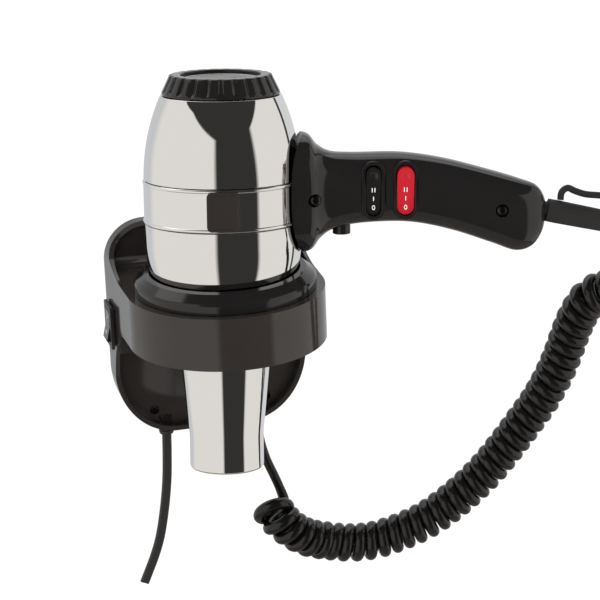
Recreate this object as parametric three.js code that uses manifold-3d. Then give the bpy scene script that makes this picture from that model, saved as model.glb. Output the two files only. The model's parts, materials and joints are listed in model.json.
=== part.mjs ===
// Wall-mounted hair dryer holder with its hand-held dryer, standing nose down in the holder's ring.
// Millimetres. +Z is up, +Y points into the wall and the origin is the middle of the wall face.
import * as THREE from 'three';
import { mergeVertices } from 'three/addons/utils/BufferGeometryUtils.js';
import Module from 'manifold-3d';

const wasm = await Module();
wasm.setup();

// ---- driving dimensions: holder ----
const GAP = 0.3;
const HOLDER_HALF_WIDTH = 61;
const HOLDER_HALF_HEIGHT = 69;
const TOP_CORNER = 25;
const BOTTOM_CORNER = { x: 38, z: 46 };
const WALL = 3;
const RING_CENTRE_Y = -68;
const RING_RADIUS = 59.3;
const RING_TOP = 41;
const RING_BOTTOM = 9;
const RING_BORE = 50;
const RING_FLOOR_BORE = 40;
const SEAT_BORE = { x: 0.25, y: 2.25, lip: 44.9, throat: 43.4 };
const WEB_FRONT = -5.8;
const PLATE_THICKNESS = 2.5;
const SCREWS = { left: [-36, -56], right: [36, -56], top: [0, 56] };
const SWITCH = { y: -14, z: 7, width: 17, height: 24 };
const EXIT_X = 29.5;
const EXIT_Y = -7;

// ---- driving dimensions: dryer, about its own barrel axis ----
const LEAN_PIVOT = [0, RING_CENTRE_Y, RING_TOP + 5];
const HANDLE_YAW = -12.2;
const LEAN_BACK = -7.2;
const LEAN_SIDE = 1.8;
const BARREL_OFFSET = [-0.8, 0, 52.6];
const BAND = { r: 47.1, top: 7.8, bottom: -17.4 };
const REAR = { r: 46.4, top: 57.4, bulge: 120 };
const FRONT = { r: 46.2, straight: -30, bulge: 63, bottom: -68 };
const SKIN = 1.6;
const CAP = { z: 57.8, height: 11.6, bottomR: 34.8, topR: 29.8, mouthR: 23.6, flutes: 24 };
const NOZZLE = { top: -68.4, topR: 31, neck: -148, neckR: 22.2, end: -167.5, wall: 1.5 };
const HANDLE_END = 192;
const HANDLE_SKIN = 2.4;
const ROCKER_X = { speed: 88.3, heat: 107.2 };
const ROCKER_Z = 1;
const ROCKER_TILT = 10;
const HANDLE_SCREWS = { barrel: [53.5, -3, 20.5], tail: [164, -12, 13.5] };
const BUTTON = { x: 70.2, r: 5.3, bottom: -26.6 };
const RELIEF = { x: 190, z: -14, slope: -12, length: 45 };

// ---- driving dimensions: leads ----
const FLEX = 6;
const CURL_OUTER = 22;
const MAINS = { width: 6, height: 3.4 };
const MAINS_ROUTE = [
  [-29.5, -7, -72.2], [-30, -7.6, -84], [-31.5, -9, -103], [-34.5, -10, -123],
  [-38.5, -10, -142], [-43, -10, -155], [-46.5, -10, -163], [-50, -10, -171],
];
const LOWER_TAIL_ROUTE = [
  [29.5, -7, -72.2], [30.2, -8.4, -84], [33.5, -11, -98], [38.5, -13, -110], [42.8, -14.2, -119],
  [44.9, -14.2, -126],
];
const CURL_ROUTE = [
  [31, -15, -133], [42, -16, -144], [54, -18, -151], [70, -21, -155.5], [85, -24, -157.5], [99, -27, -156.5],
  [115, -31, -151.5], [131, -35, -144], [144, -38, -135], [156, -42, -124], [170, -46, -109],
  [182, -50, -92.5],
  [192, -54, -77], [201, -58, -62], [208, -63, -45.5], [213, -67, -30], [217, -71, -14], [221, -76, 0],
  [226.5, -81, 11], [236, -87, 18],
];
const UPPER_TAIL_ROUTE = [
  [236.6, -87.4, 18.4], [245, -93.5, 24], [251, -101.5, 34], [253, -109, 46], [249.5, -115, 56.5],
  [240.5, -116.9, 64], [229.2, -114.8, 67.7],
];

// ---- materials ----
function finish(color, roughness, metalness) {
  return new THREE.MeshStandardMaterial({ color, roughness, metalness });
}
const GLOSS_BLACK = finish(0x0b0b0c, 0.18, 0);
const SATIN_BLACK = finish(0x161514, 0.45, 0);
const CORD_BLACK = finish(0x1b1a19, 0.6, 0);
const CHROME = finish(0xd9dadc, 0.06, 1);
const STEEL = finish(0x9a9c9f, 0.35, 1);
const RED = finish(0xb81420, 0.22, 0);
const MICA = finish(0xc9b88c, 0.7, 0);
const BRASS = finish(0xb08d4a, 0.35, 1);
const NATURAL = finish(0xd8d2c4, 0.5, 0);

// ---- geometry helpers ----
function solid(geometry) {
  const bare = geometry.clone();
  bare.deleteAttribute('normal');
  bare.deleteAttribute('uv');
  const merged = mergeVertices(bare, 1e-3);
  const position = merged.getAttribute('position');
  const index = Array.from(merged.index.array);
  const kept = [];
  for (let i = 0; i < index.length; i += 3) {
    const [a, b, c] = index.slice(i, i + 3);
    if (a !== b && b !== c && c !== a) kept.push(a, b, c);
  }
  const build = (triangles) => new wasm.Manifold(new wasm.Mesh({
    numProp: 3,
    vertProperties: Float32Array.from(position.array),
    triVerts: Uint32Array.from(triangles),
  }));
  const first = build(kept);
  if (first.volume() > 0) return first;
  const turned = [];
  for (let i = 0; i < kept.length; i += 3) turned.push(kept[i], kept[i + 2], kept[i + 1]);
  return build(turned);
}

function geometryOf(manifold) {
  const mesh = manifold.getMesh();
  const geometry = new THREE.BufferGeometry();
  const position = new Float32Array((mesh.vertProperties.length / mesh.numProp) * 3);
  for (let i = 0; i < position.length / 3; i++) {
    for (let k = 0; k < 3; k++) position[3 * i + k] = mesh.vertProperties[i * mesh.numProp + k];
  }
  geometry.setAttribute('position', new THREE.BufferAttribute(position, 3));
  geometry.setIndex(Array.from(mesh.triVerts));
  geometry.computeVertexNormals();
  return geometry;
}

function add(parent, name, shape, material) {
  const manifold = shape instanceof THREE.BufferGeometry ? solid(shape) : shape;
  const mesh = new THREE.Mesh(geometryOf(manifold), material);
  mesh.name = name;
  parent.add(mesh);
  return mesh;
}

// A closed profile of [radius, z] points turned about the Z axis.
function revolve(points, segments = 48) {
  const outline = points.map(([r, z]) => new THREE.Vector2(r, z));
  if (points[0][0] > 0) outline.push(outline[0].clone());
  return new THREE.LatheGeometry(outline, segments).rotateX(Math.PI / 2);
}

function block(lowX, highX, lowY, highY, lowZ, highZ) {
  const box = new THREE.BoxGeometry(highX - lowX, highY - lowY, highZ - lowZ);
  return box.translate((lowX + highX) / 2, (lowY + highY) / 2, (lowZ + highZ) / 2);
}

// Extrusions of a drawn shape: forward from the wall (x, z), sideways (y, z) and upwards (x, y).
function forward(shape, fromY, toY, curveSegments = 8) {
  const slab = new THREE.ExtrudeGeometry(shape, { depth: fromY - toY, bevelEnabled: false, curveSegments });
  return slab.rotateX(Math.PI / 2).translate(0, fromY, 0);
}
function sideways(shape, fromX, toX, curveSegments = 8) {
  const slab = new THREE.ExtrudeGeometry(shape, { depth: toX - fromX, bevelEnabled: false, curveSegments });
  const turn = new THREE.Matrix4().makeBasis(
    new THREE.Vector3(0, 1, 0), new THREE.Vector3(0, 0, 1), new THREE.Vector3(1, 0, 0));
  return slab.applyMatrix4(turn).translate(fromX, 0, 0);
}
function upwards(shape, fromZ, toZ, curveSegments = 24) {
  const slab = new THREE.ExtrudeGeometry(shape, { depth: toZ - fromZ, bevelEnabled: false, curveSegments });
  return slab.translate(0, 0, fromZ);
}
function drawn(points) {
  return new THREE.Shape(points.map(([a, b]) => new THREE.Vector2(a, b)));
}

function rod(r, from, to, segments = 14) {
  const a = new THREE.Vector3(...from);
  const b = new THREE.Vector3(...to);
  const along = b.clone().sub(a);
  const cylinder = new THREE.CylinderGeometry(r, r, along.length(), segments);
  const turn = new THREE.Quaternion();
  turn.setFromUnitVectors(new THREE.Vector3(0, 1, 0), along.clone().normalize());
  const middle = a.add(b).multiplyScalar(0.5);
  return cylinder.applyQuaternion(turn).translate(middle.x, middle.y, middle.z);
}

function roundedRectangle(halfX, halfZ, corner, cx = 0, cz = 0) {
  const shape = new THREE.Shape();
  shape.moveTo(cx + halfX, cz - halfZ + corner);
  shape.lineTo(cx + halfX, cz + halfZ - corner);
  shape.absarc(cx + halfX - corner, cz + halfZ - corner, corner, 0, Math.PI / 2);
  shape.lineTo(cx - halfX + corner, cz + halfZ);
  shape.absarc(cx - halfX + corner, cz + halfZ - corner, corner, Math.PI / 2, Math.PI);
  shape.lineTo(cx - halfX, cz - halfZ + corner);
  shape.absarc(cx - halfX + corner, cz - halfZ + corner, corner, Math.PI, 1.5 * Math.PI);
  shape.lineTo(cx + halfX - corner, cz - halfZ);
  shape.absarc(cx + halfX - corner, cz - halfZ + corner, corner, 1.5 * Math.PI, 2 * Math.PI);
  return shape;
}

// A section swept along a smooth route.
function swept(section, route, steps) {
  const path = new THREE.CatmullRomCurve3(route.map((p) => new THREE.Vector3(...p)), false, 'centripetal');
  const settings = { steps, extrudePath: path, bevelEnabled: false, curveSegments: 2 };
  return new THREE.ExtrudeGeometry(section, settings);
}
function polygon(r, sides) {
  const points = [];
  for (let i = 0; i < sides; i++) {
    const angle = (2 * Math.PI * (i + 0.5)) / sides;
    points.push([r * Math.cos(angle), r * Math.sin(angle)]);
  }
  return drawn(points);
}

// ---- holder: outline seen from the front, inset by a wall where asked ----
function holderOutline(inset) {
  const x = HOLDER_HALF_WIDTH - inset;
  const z = HOLDER_HALF_HEIGHT - inset;
  const top = TOP_CORNER - inset;
  const bx = BOTTOM_CORNER.x - inset;
  const bz = BOTTOM_CORNER.z - inset;
  const shape = new THREE.Shape();
  shape.moveTo(x, -z + bz);
  shape.lineTo(x, z - top);
  shape.absarc(x - top, z - top, top, 0, Math.PI / 2);
  shape.lineTo(-x + top, z);
  shape.absarc(-x + top, z - top, top, Math.PI / 2, Math.PI);
  shape.lineTo(-x, -z + bz);
  shape.absellipse(-x + bx, -z + bz, bx, bz, Math.PI, 1.5 * Math.PI);
  shape.lineTo(x - bx, -z);
  shape.absellipse(x - bx, -z + bz, bx, bz, 1.5 * Math.PI, 2 * Math.PI);
  return shape;
}

// Side view of the holder: thin edges at the wall that sweep forward into the ring.
function holderProfile() {
  const shape = new THREE.Shape();
  shape.moveTo(0, HOLDER_HALF_HEIGHT);
  shape.lineTo(-8, HOLDER_HALF_HEIGHT);
  shape.lineTo(-9, 60);
  shape.absellipse(-50, 60, 41, 60 - RING_TOP, 2 * Math.PI, 1.5 * Math.PI, true);
  shape.lineTo(-135, RING_TOP);
  shape.lineTo(-135, RING_BOTTOM);
  shape.lineTo(-50, RING_BOTTOM);
  shape.absellipse(-50, -36, 36, 36 + RING_BOTTOM, 0.5 * Math.PI, 0, true);
  shape.lineTo(-12.5, -HOLDER_HALF_HEIGHT);
  shape.lineTo(0, -HOLDER_HALF_HEIGHT);
  return shape;
}

function holderPlan() {
  const shape = new THREE.Shape();
  shape.moveTo(HOLDER_HALF_WIDTH, 1);
  shape.lineTo(-HOLDER_HALF_WIDTH, 1);
  shape.lineTo(-RING_RADIUS, RING_CENTRE_Y);
  shape.absarc(0, RING_CENTRE_Y, RING_RADIUS, Math.PI, 2 * Math.PI);
  return shape;
}

// Space in front of the web, above and below the ring, with a round fillet where web meets ring.
function recess(edgeZ, outward, fillet) {
  const side = new THREE.Shape();
  const far = edgeZ + outward * 120;
  side.moveTo(WEB_FRONT, far);
  side.lineTo(-200, far);
  side.lineTo(-200, edgeZ);
  side.lineTo(WEB_FRONT - fillet, edgeZ);
  const centreZ = edgeZ + outward * fillet;
  side.absarc(WEB_FRONT - fillet, centreZ, fillet, -outward * Math.PI / 2, 0, outward < 0);
  const slice = solid(sideways(side, -80, 80));
  return slice.intersect(solid(forward(holderOutline(WALL), 1, -200)));
}

function cylinderZ(r, lowZ, highZ, cx = 0, cy = 0, segments = 44) {
  const cylinder = new THREE.CylinderGeometry(r, r, highZ - lowZ, segments).rotateX(Math.PI / 2);
  return solid(cylinder.translate(cx, cy, (lowZ + highZ) / 2));
}

function wiringSpace() {
  const shape = drawn([[1, 37], [-15, 37], [-15, 9], [-9, 0], [-4, -6], [1, -6]]);
  return solid(sideways(shape, -54, 54));
}

function switchPocket(margin) {
  const halfY = SWITCH.width / 2 + margin;
  const halfZ = SWITCH.height / 2 + margin;
  return solid(block(-80, -37, SWITCH.y - halfY, SWITCH.y + halfY, SWITCH.z - halfZ, SWITCH.z + halfZ));
}

function buildHolderShell() {
  const outside = solid(forward(holderOutline(0), 0, -140, 6))
    .intersect(solid(sideways(holderProfile(), -80, 80, 7)))
    .intersect(solid(upwards(holderPlan(), -90, 90, 22)));
  const boss = solid(block(-58.5, -35, -27, -1, -8.5, 22));
  let shell = outside.subtract(recess(RING_TOP, 1, 7)).subtract(recess(RING_BOTTOM, -1, 28)).add(boss);
  shell = shell
    .subtract(cylinderZ(RING_BORE, RING_BOTTOM + 4, 60, 0, RING_CENTRE_Y))
    .subtract(cylinderZ(RING_FLOOR_BORE, -40, 60, 0, RING_CENTRE_Y))
    .subtract(wiringSpace())
    .subtract(switchPocket(0))
    .subtract(solid(forward(holderOutline(WALL), 1, -PLATE_THICKNESS - GAP)));
  for (const [x, z] of Object.values(SCREWS)) shell = shell.subtract(solid(rod(3, [x, 5, z], [x, -12, z])));
  for (const x of [-EXIT_X, EXIT_X]) {
    shell = shell.subtract(solid(rod(4.2, [x, EXIT_Y, -60], [x, EXIT_Y, -80])));
  }
  return shell;
}

function buildBackPlate() {
  let plate = solid(forward(holderOutline(WALL + GAP), 0, -PLATE_THICKNESS, 7));
  for (const [x, z] of Object.values(SCREWS)) plate = plate.subtract(solid(rod(2.4, [x, 5, z], [x, -8, z])));
  plate = plate.subtract(solid(rod(9, [22, 5, 22], [22, -8, 22])));
  return plate;
}

// A dark screw sunk in its hole, its head against the back plate.
function buildWallScrew([x, z]) {
  const profile = [[0, 0], [2, 0], [2, 2.6], [2.75, 2.6], [2.75, 4], [2.1, 4.6], [0, 4.6]];
  return revolve(profile, 14).rotateX(Math.PI / 2).translate(x, -GAP, z);
}

// Seat insert: a band standing proud of the ring, a bevel up to a round lip and a skirt inside the bore.
// Its bore is set off centre, so that its lip follows the leaning barrel evenly.
function buildSeatCollar() {
  const t = RING_TOP;
  const outside = revolve([
    [0, t + 11.2], [48.3, t + 11.2], [53.4, t + 7], [54.2, t + 5.6], [54.2, t + GAP],
    [49.5, t + GAP], [49.5, t - 20], [0, t - 20],
  ], 48).translate(0, RING_CENTRE_Y, 0);
  const bore = revolve([
    [0, t + 12], [SEAT_BORE.lip + 0.5, t + 12], [SEAT_BORE.lip, t + 9.8], [SEAT_BORE.throat, t - 6],
    [SEAT_BORE.throat + 2, t - 21], [0, t - 21],
  ], 48).translate(SEAT_BORE.x, RING_CENTRE_Y + SEAT_BORE.y, 0);
  return solid(outside).subtract(solid(bore));
}

function buildSwitchBezel() {
  const halfY = SWITCH.width / 2;
  const halfZ = SWITCH.height / 2;
  const outer = block(-63.4, -61.4, SWITCH.y - halfY - 1.6, SWITCH.y + halfY + 1.6,
    SWITCH.z - halfZ - 1.6, SWITCH.z + halfZ + 1.6);
  const inner = block(-70, -50, SWITCH.y - halfY + 2, SWITCH.y + halfY - 2,
    SWITCH.z - halfZ + 2, SWITCH.z + halfZ - 2);
  const sleeve = block(-61.5, -56, SWITCH.y - halfY + 0.4, SWITCH.y + halfY - 0.4,
    SWITCH.z - halfZ + 0.4, SWITCH.z + halfZ - 0.4);
  return solid(outer).add(solid(sleeve)).subtract(solid(inner));
}

// A rocker drawn from its edge: two flats meeting at the middle, ends round about the pivot.
function rockerBody(halfLength, rise, depth, thickness) {
  const shape = new THREE.Shape();
  const end = Math.atan2(rise, halfLength);
  const reach = Math.hypot(halfLength, rise);
  shape.moveTo(halfLength, rise);
  shape.lineTo(0, rise - thickness * 0.25);
  shape.lineTo(-halfLength, rise);
  shape.absarc(0, 0, reach, Math.PI - end, Math.PI + 0.28, false);
  shape.lineTo(-halfLength * 0.4, -depth);
  shape.lineTo(halfLength * 0.4, -depth);
  shape.absarc(0, 0, reach, -0.28, end, false);
  return shape;
}

function buildHolderRocker() {
  const body = new THREE.ExtrudeGeometry(rockerBody(9.2, 2.6, 4.5, 4), {
    depth: SWITCH.width - 4.8, bevelEnabled: false, curveSegments: 4 });
  const turn = new THREE.Matrix4().makeBasis(
    new THREE.Vector3(0, 0, 1), new THREE.Vector3(-1, 0, 0), new THREE.Vector3(0, -1, 0));
  const tilt = THREE.MathUtils.degToRad(-7);
  body.rotateZ(tilt).translate(0, 0, -(SWITCH.width - 4.8) / 2).applyMatrix4(turn);
  return body.translate(-62, SWITCH.y, SWITCH.z);
}

// A short bush in the holder's lower edge that a lead comes out of.
function gland(x, boreShape) {
  const bush = revolve([[0, -1.2], [3.9, -1.2], [3.9, -4.1], [4.7, -4.1], [4.3, -6.6], [0, -6.6]], 16);
  const bore = upwards(boreShape, -20, 20, 4);
  return solid(bush).subtract(solid(bore)).translate([x, EXIT_Y, -65.2]);
}

function buildHolder(group) {
  add(group, 'holder_shell', buildHolderShell(), GLOSS_BLACK);
  add(group, 'back_plate', buildBackPlate(), SATIN_BLACK);
  add(group, 'seat_collar', buildSeatCollar(), GLOSS_BLACK);
  for (const [place, at] of Object.entries(SCREWS)) {
    add(group, `wall_screw_${place}`, buildWallScrew(at), STEEL);
  }
  add(group, 'power_switch_bezel', buildSwitchBezel(), SATIN_BLACK);
  add(group, 'power_rocker', buildHolderRocker(), SATIN_BLACK);
  const halfY = SWITCH.width / 2 - 1;
  const halfZ = SWITCH.height / 2 - 1;
  add(group, 'power_switch_body', block(-55.5, -40, SWITCH.y - halfY, SWITCH.y + halfY,
    SWITCH.z - halfZ, SWITCH.z + halfZ), SATIN_BLACK);
  add(group, 'terminal_block', block(-12, 14, -13.5, -4.5, 16, 28), NATURAL);
  add(group, 'mains_gland', gland(-EXIT_X, roundedRectangle(3.2, 2, 1.9)), SATIN_BLACK);
  add(group, 'lead_gland', gland(EXIT_X, polygon(FLEX / 2 + GAP, 16)), SATIN_BLACK);
}

// ---- leads ----
function buildLeads(group) {
  const flat = roundedRectangle(MAINS.height / 2, MAINS.width / 2, MAINS.height / 2 - 0.1);
  add(group, 'mains_lead', swept(flat, MAINS_ROUTE, 12), CORD_BLACK);
  add(group, 'lead_lower_tail', swept(polygon(FLEX / 2, 8), LOWER_TAIL_ROUTE, 14), CORD_BLACK);
  add(group, 'curly_lead', swept(polygon(CURL_OUTER / 2, 10), CURL_ROUTE, 34), CORD_BLACK);
  add(group, 'lead_upper_tail', swept(polygon(FLEX / 2, 8), UPPER_TAIL_ROUTE, 18), CORD_BLACK);
}

// ---- dryer barrel, turned about the barrel axis ----
const sagitta = (bulge, rise) => bulge - Math.sqrt(bulge * bulge - rise * rise);
const rearRadius = (z) => REAR.r - sagitta(REAR.bulge, z - BAND.top);
const frontRadius = (z) => FRONT.r - (z < FRONT.straight ? sagitta(FRONT.bulge, FRONT.straight - z) : 0);

function skinOf(radiusAt, fromZ, toZ, steps) {
  const outside = [];
  const inside = [];
  for (let i = 0; i <= steps; i++) {
    const z = fromZ + ((toZ - fromZ) * i) / steps;
    outside.push([radiusAt(z), z]);
    if (i % 2 === 0) inside.unshift([radiusAt(z) - SKIN, z]);
  }
  return revolve([...outside, ...inside], 48);
}

function buildBand() {
  const { r, top, bottom } = BAND;
  return revolve([
    [r - 1.9, bottom], [r - 0.5, bottom], [r, bottom + 0.8], [r - 0.4, bottom + 2.2],
    [r - 0.4, top - 2.2], [r, top - 0.8], [r - 0.5, top], [r - 1.9, top],
  ], 48);
}

// The cap's wall is fluted: each groove is a short dip in the radius.
function buildIntakeCap() {
  const { z, height, bottomR, topR, mouthR, flutes } = CAP;
  const perFlute = 2;
  const profile = [
    [bottomR - 3, z], [bottomR, z], [bottomR, z + 1.4], [topR + 0.8, z + height - 1.2],
    [topR - 0.8, z + height], [mouthR + 0.8, z + height], [mouthR, z + 7], [bottomR - 3, z + 6],
  ];
  const cap = revolve(profile, flutes * perFlute);
  const position = cap.getAttribute('position');
  for (let i = 0; i < position.count; i++) {
    const x = position.getX(i);
    const y = position.getY(i);
    const level = position.getZ(i);
    const r = Math.hypot(x, y);
    const step = Math.round((Math.atan2(y, x) / (2 * Math.PI)) * flutes * perFlute);
    const onWall = level > z + 1 && r > mouthR + 2;
    const inGroove = ((step % perFlute) + perFlute) % perFlute === 0;
    if (!onWall || !inGroove) continue;
    const dip = 1 - 1.5 / r;
    position.setX(i, x * dip);
    position.setY(i, y * dip);
  }
  return cap;
}

function buildNozzle() {
  const { top, topR, neck, neckR, end, wall } = NOZZLE;
  return revolve([
    [topR, top], [topR, top - 2], [topR - 1, top - 3], [neckR, neck], [neckR, end + 1],
    [neckR - 0.7, end], [neckR - wall, end], [neckR - wall, neck],
    [topR - 1 - wall, top - 4], [topR - wall, top],
  ], 48);
}

function spider(outerR, innerR, hubOuter, hubInner, lowZ, highZ, arms) {
  const ring = (big, small) => solid(revolve([[small, lowZ], [big, lowZ], [big, highZ], [small, highZ]], 28));
  let frame = ring(outerR, innerR).add(ring(hubOuter, hubInner));
  for (let i = 0; i < arms; i++) {
    const arm = block(hubInner + 0.8, outerR - 0.8, -2, 2, lowZ, highZ).rotateZ((2 * Math.PI * i) / arms);
    frame = frame.add(solid(arm));
  }
  return frame;
}

function buildFan() {
  let fan = solid(revolve([[2, 44], [9, 44], [10, 46], [8, 54], [4, 56], [2, 56]], 24));
  const blades = 7;
  for (let i = 0; i < blades; i++) {
    const blade = new THREE.BoxGeometry(23, 1.2, 9).rotateX(0.75).translate(19, 0, 49.5);
    fan = fan.add(solid(blade.rotateZ((2 * Math.PI * i) / blades)));
  }
  return fan;
}

function buildHeaterFrame() {
  const across = solid(block(-29, 29, -0.6, 0.6, -56, -8));
  return across.add(solid(block(-0.6, 0.6, -29, 29, -56, -8)));
}

function buildHeaterCoil() {
  const turns = 5;
  const perTurn = 12;
  const route = [];
  for (let i = 0; i <= turns * perTurn; i++) {
    const angle = (2 * Math.PI * i) / perTurn;
    route.push([31 * Math.cos(angle), 31 * Math.sin(angle), -50 + (32 * i) / (turns * perTurn)]);
  }
  return swept(polygon(1, 4), route, turns * perTurn);
}

function buildOutletGrille() {
  const z = NOZZLE.top - 4;
  let grille = solid(revolve([[25.5, z - 2], [27.8, z - 2], [28.1, z], [25.5, z]], 32));
  for (const angle of [0, Math.PI / 2]) {
    for (const offset of [-12, 0, 12]) {
      const half = Math.sqrt(26.5 * 26.5 - offset * offset);
      const bar = block(-half, half, offset - 0.6, offset + 0.6, z - 1.7, z - 0.3);
      grille = grille.add(solid(bar.rotateZ(angle)));
    }
  }
  return grille;
}

function buildBarrel(group) {
  add(group, 'rear_barrel_shell', skinOf(rearRadius, BAND.top + 0.4, REAR.top, 6), CHROME);
  add(group, 'centre_band', solid(buildBand()).subtract(solid(rod(5, [40, 0, -5], [60, 0, -5]))), CHROME);
  add(group, 'front_barrel_shell', skinOf(frontRadius, FRONT.bottom, BAND.bottom - 0.4, 8), CHROME);
  add(group, 'nozzle', buildNozzle(), CHROME);
  add(group, 'intake_cap', buildIntakeCap(), GLOSS_BLACK);
  add(group, 'intake_filter', revolve([[0, 65.6], [23.1, 65.6], [23.1, 66.8], [0, 66.8]], 36), STEEL);
  const badge = forward(roundedRectangle(9.5, 11.5, 3, 0, -4.7), -BAND.r - GAP, -BAND.r - 1.9, 4);
  add(group, 'badge_plate', solid(badge), GLOSS_BLACK);
  add(group, 'motor', revolve([[0, 6.4], [16, 6.4], [17, 7.4], [17, 40], [12, 41.5], [0, 41.5]], 28), STEEL);
  add(group, 'motor_shaft', rod(1.6, [0, 0, 41.8], [0, 0, 57.5], 14), STEEL);
  add(group, 'motor_mount', spider(44.6, 41.5, 15, 8, 2, 6, 4), NATURAL);
  add(group, 'fan', buildFan(), NATURAL);
  add(group, 'heater_frame', buildHeaterFrame(), MICA);
  add(group, 'heater_coil', buildHeaterCoil(), BRASS);
  add(group, 'outlet_grille', buildOutletGrille(), STEEL);
  add(group, 'thermostat', rod(6, [12, 12, -7.5], [12, 12, -2], 20), STEEL);
}

// ---- dryer handle: a swollen bar whose top, belly and side lines are smooth curves along x ----
const TOP_LINE = [[28, 34], [50, 33.6], [56, 27], [63, 23], [75, 21.9], [105, 21.6], [129, 18],
  [153, 11.7], [176, 4.6], [186, 0.5], [190.5, -6], [HANDLE_END, -15.6]];
const BELLY_LINE = [[28, -35.6], [51, -35.4], [57, -28.6], [63, -24], [73, -21], [88, -19.4],
  [111, -19.7], [135, -24.8], [159, -33], [174, -38], [183, -35.5], [189, -27.5], [HANDLE_END, -15.8]];
const SIDE_LINE = [[28, 25.5], [51, 25], [57, 20.6], [66, 17.6], [88, 17], [150, 16.6], [172, 16],
  [182, 13.4], [189, 8.5], [HANDLE_END, 0.2]];

function lineAt(points, x) {
  const along = points.map(([a, b]) => new THREE.Vector3(a, b, 0));
  const curve = new THREE.CatmullRomCurve3(along, false, 'centripetal');
  let low = 0;
  let high = 1;
  for (let i = 0; i < 24; i++) {
    const middle = (low + high) / 2;
    if (curve.getPoint(middle).x < x) low = middle;
    else high = middle;
  }
  return curve.getPoint(low).y;
}

function handleBar(inset) {
  const xs = [30, 49, 52, 54.5, 57, 61, 67, 78, 92, 106, 120, 134, 148, 161, 172, 180, 185.5, 189, 191.4];
  const bar = new THREE.CylinderGeometry(1, 1, 1, 20, xs.length - 1);
  const position = bar.getAttribute('position');
  const squareness = 2 / 2.7;
  for (let i = 0; i < position.count; i++) {
    const station = Math.round((position.getY(i) + 0.5) * (xs.length - 1));
    const along = xs[station];
    const top = lineAt(TOP_LINE, along) - inset;
    const belly = lineAt(BELLY_LINE, along) + inset;
    const side = lineAt(SIDE_LINE, along) - inset;
    const z = position.getX(i);
    const y = position.getZ(i);
    const bulgeZ = Math.sign(z) * Math.abs(z) ** squareness;
    const bulgeY = Math.sign(y) * Math.abs(y) ** squareness;
    const half = Math.max((top - belly) / 2, 0.4);
    position.setXYZ(i, along - (station === xs.length - 1 ? inset : 0),
      bulgeY * Math.max(side, 0.4), (top + belly) / 2 + bulgeZ * half);
  }
  return solid(bar);
}

function stadium(x, z, halfX, halfZ) {
  return roundedRectangle(halfX, halfZ, halfX - 0.05, x, z);
}
const BEZEL = { halfX: 7.1, halfZ: 17.5, front: 15.6, back: 11 };

function buildHandleHalves(group) {
  let skin = handleBar(0);
  let hollow = handleBar(HANDLE_SKIN).subtract(solid(block(0, 50.5, -60, 60, -60, 60)));
  for (const [x, z] of Object.values(HANDLE_SCREWS)) {
    hollow = hollow.subtract(solid(rod(5.4, [x, -40, z], [x, 40, z])));
  }
  skin = skin.subtract(hollow).subtract(cylinderZ(BAND.r + GAP + 0.1, -80, 80, 0, 0, 48));
  for (const x of Object.values(ROCKER_X)) {
    const window = forward(stadium(x, ROCKER_Z, BEZEL.halfX - 1, BEZEL.halfZ - 1), -5, -30, 4);
    const pocket = stadium(x, ROCKER_Z, BEZEL.halfX + GAP, BEZEL.halfZ + GAP);
    const seat = forward(pocket, -BEZEL.back + GAP, -30, 4);
    skin = skin.subtract(solid(window)).subtract(solid(seat));
  }
  for (const [x, z, depth] of Object.values(HANDLE_SCREWS)) {
    skin = skin.subtract(solid(rod(3.9, [x, -depth, z], [x, -40, z])));
    skin = skin.subtract(solid(rod(1.8, [x, -30, z], [x, 8, z])));
  }
  const { x, z, slope } = RELIEF;
  const lean = THREE.MathUtils.degToRad(slope);
  const along = { x: Math.cos(lean), z: Math.sin(lean) };
  const at = (distance) => [x + along.x * distance, 0, z + along.z * distance];
  skin = skin.subtract(solid(rod(5.2, at(-14), at(10))));
  skin = skin.subtract(solid(rod(BUTTON.r + 0.4, [BUTTON.x, 0, -12], [BUTTON.x, 0, -40])));
  skin = skin.subtract(solid(rod(5, [40, 0, -5], [60, 0, -5])));
  add(group, 'handle_front', skin.intersect(solid(block(0, 300, -80, -GAP / 2, -80, 80))), GLOSS_BLACK);
  add(group, 'handle_back', skin.intersect(solid(block(0, 300, GAP / 2, 80, -80, 80))), GLOSS_BLACK);
}

function buildHandleScrew([x, z, depth]) {
  const profile = [[0, -2.4], [3.5, -2.4], [3.5, -0.6], [1.5, 0], [1.5, depth + 6], [0, depth + 6]];
  return revolve(profile, 18).rotateX(-Math.PI / 2).translate(x, -depth - 0.4, z);
}

function buildRockerSet(group, name, color) {
  const x = ROCKER_X[name];
  const { halfX, halfZ, front, back } = BEZEL;
  const rim = solid(forward(stadium(x, ROCKER_Z, halfX, halfZ), -back, -front - 0.6, 4));
  const face = halfX - (name === 'speed' ? 2.9 : 2.1);
  const opening = solid(forward(stadium(x, ROCKER_Z, face + 0.4, 15.2), -5, -30, 6));
  add(group, `${name}_bezel`, rim.subtract(opening), GLOSS_BLACK);
  const profile = rockerBody(14.3, 2.4, 2.2, 3);
  const body = new THREE.ExtrudeGeometry(profile, { depth: 2 * face, bevelEnabled: false, curveSegments: 4 });
  const turn = new THREE.Matrix4().makeBasis(
    new THREE.Vector3(0, 0, 1), new THREE.Vector3(0, -1, 0), new THREE.Vector3(1, 0, 0));
  body.rotateZ(THREE.MathUtils.degToRad(ROCKER_TILT)).translate(0, 0, -face).applyMatrix4(turn);
  const oval = solid(forward(stadium(x, ROCKER_Z, face, 13.8), 5, -30, 6));
  add(group, `${name}_rocker`, solid(body.translate(x, -14, ROCKER_Z)).intersect(oval), color);
  add(group, `${name}_switch`, block(x - 6.6, x + 6.6, -4.6, 7, ROCKER_Z - 15, ROCKER_Z + 14), SATIN_BLACK);
}

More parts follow.
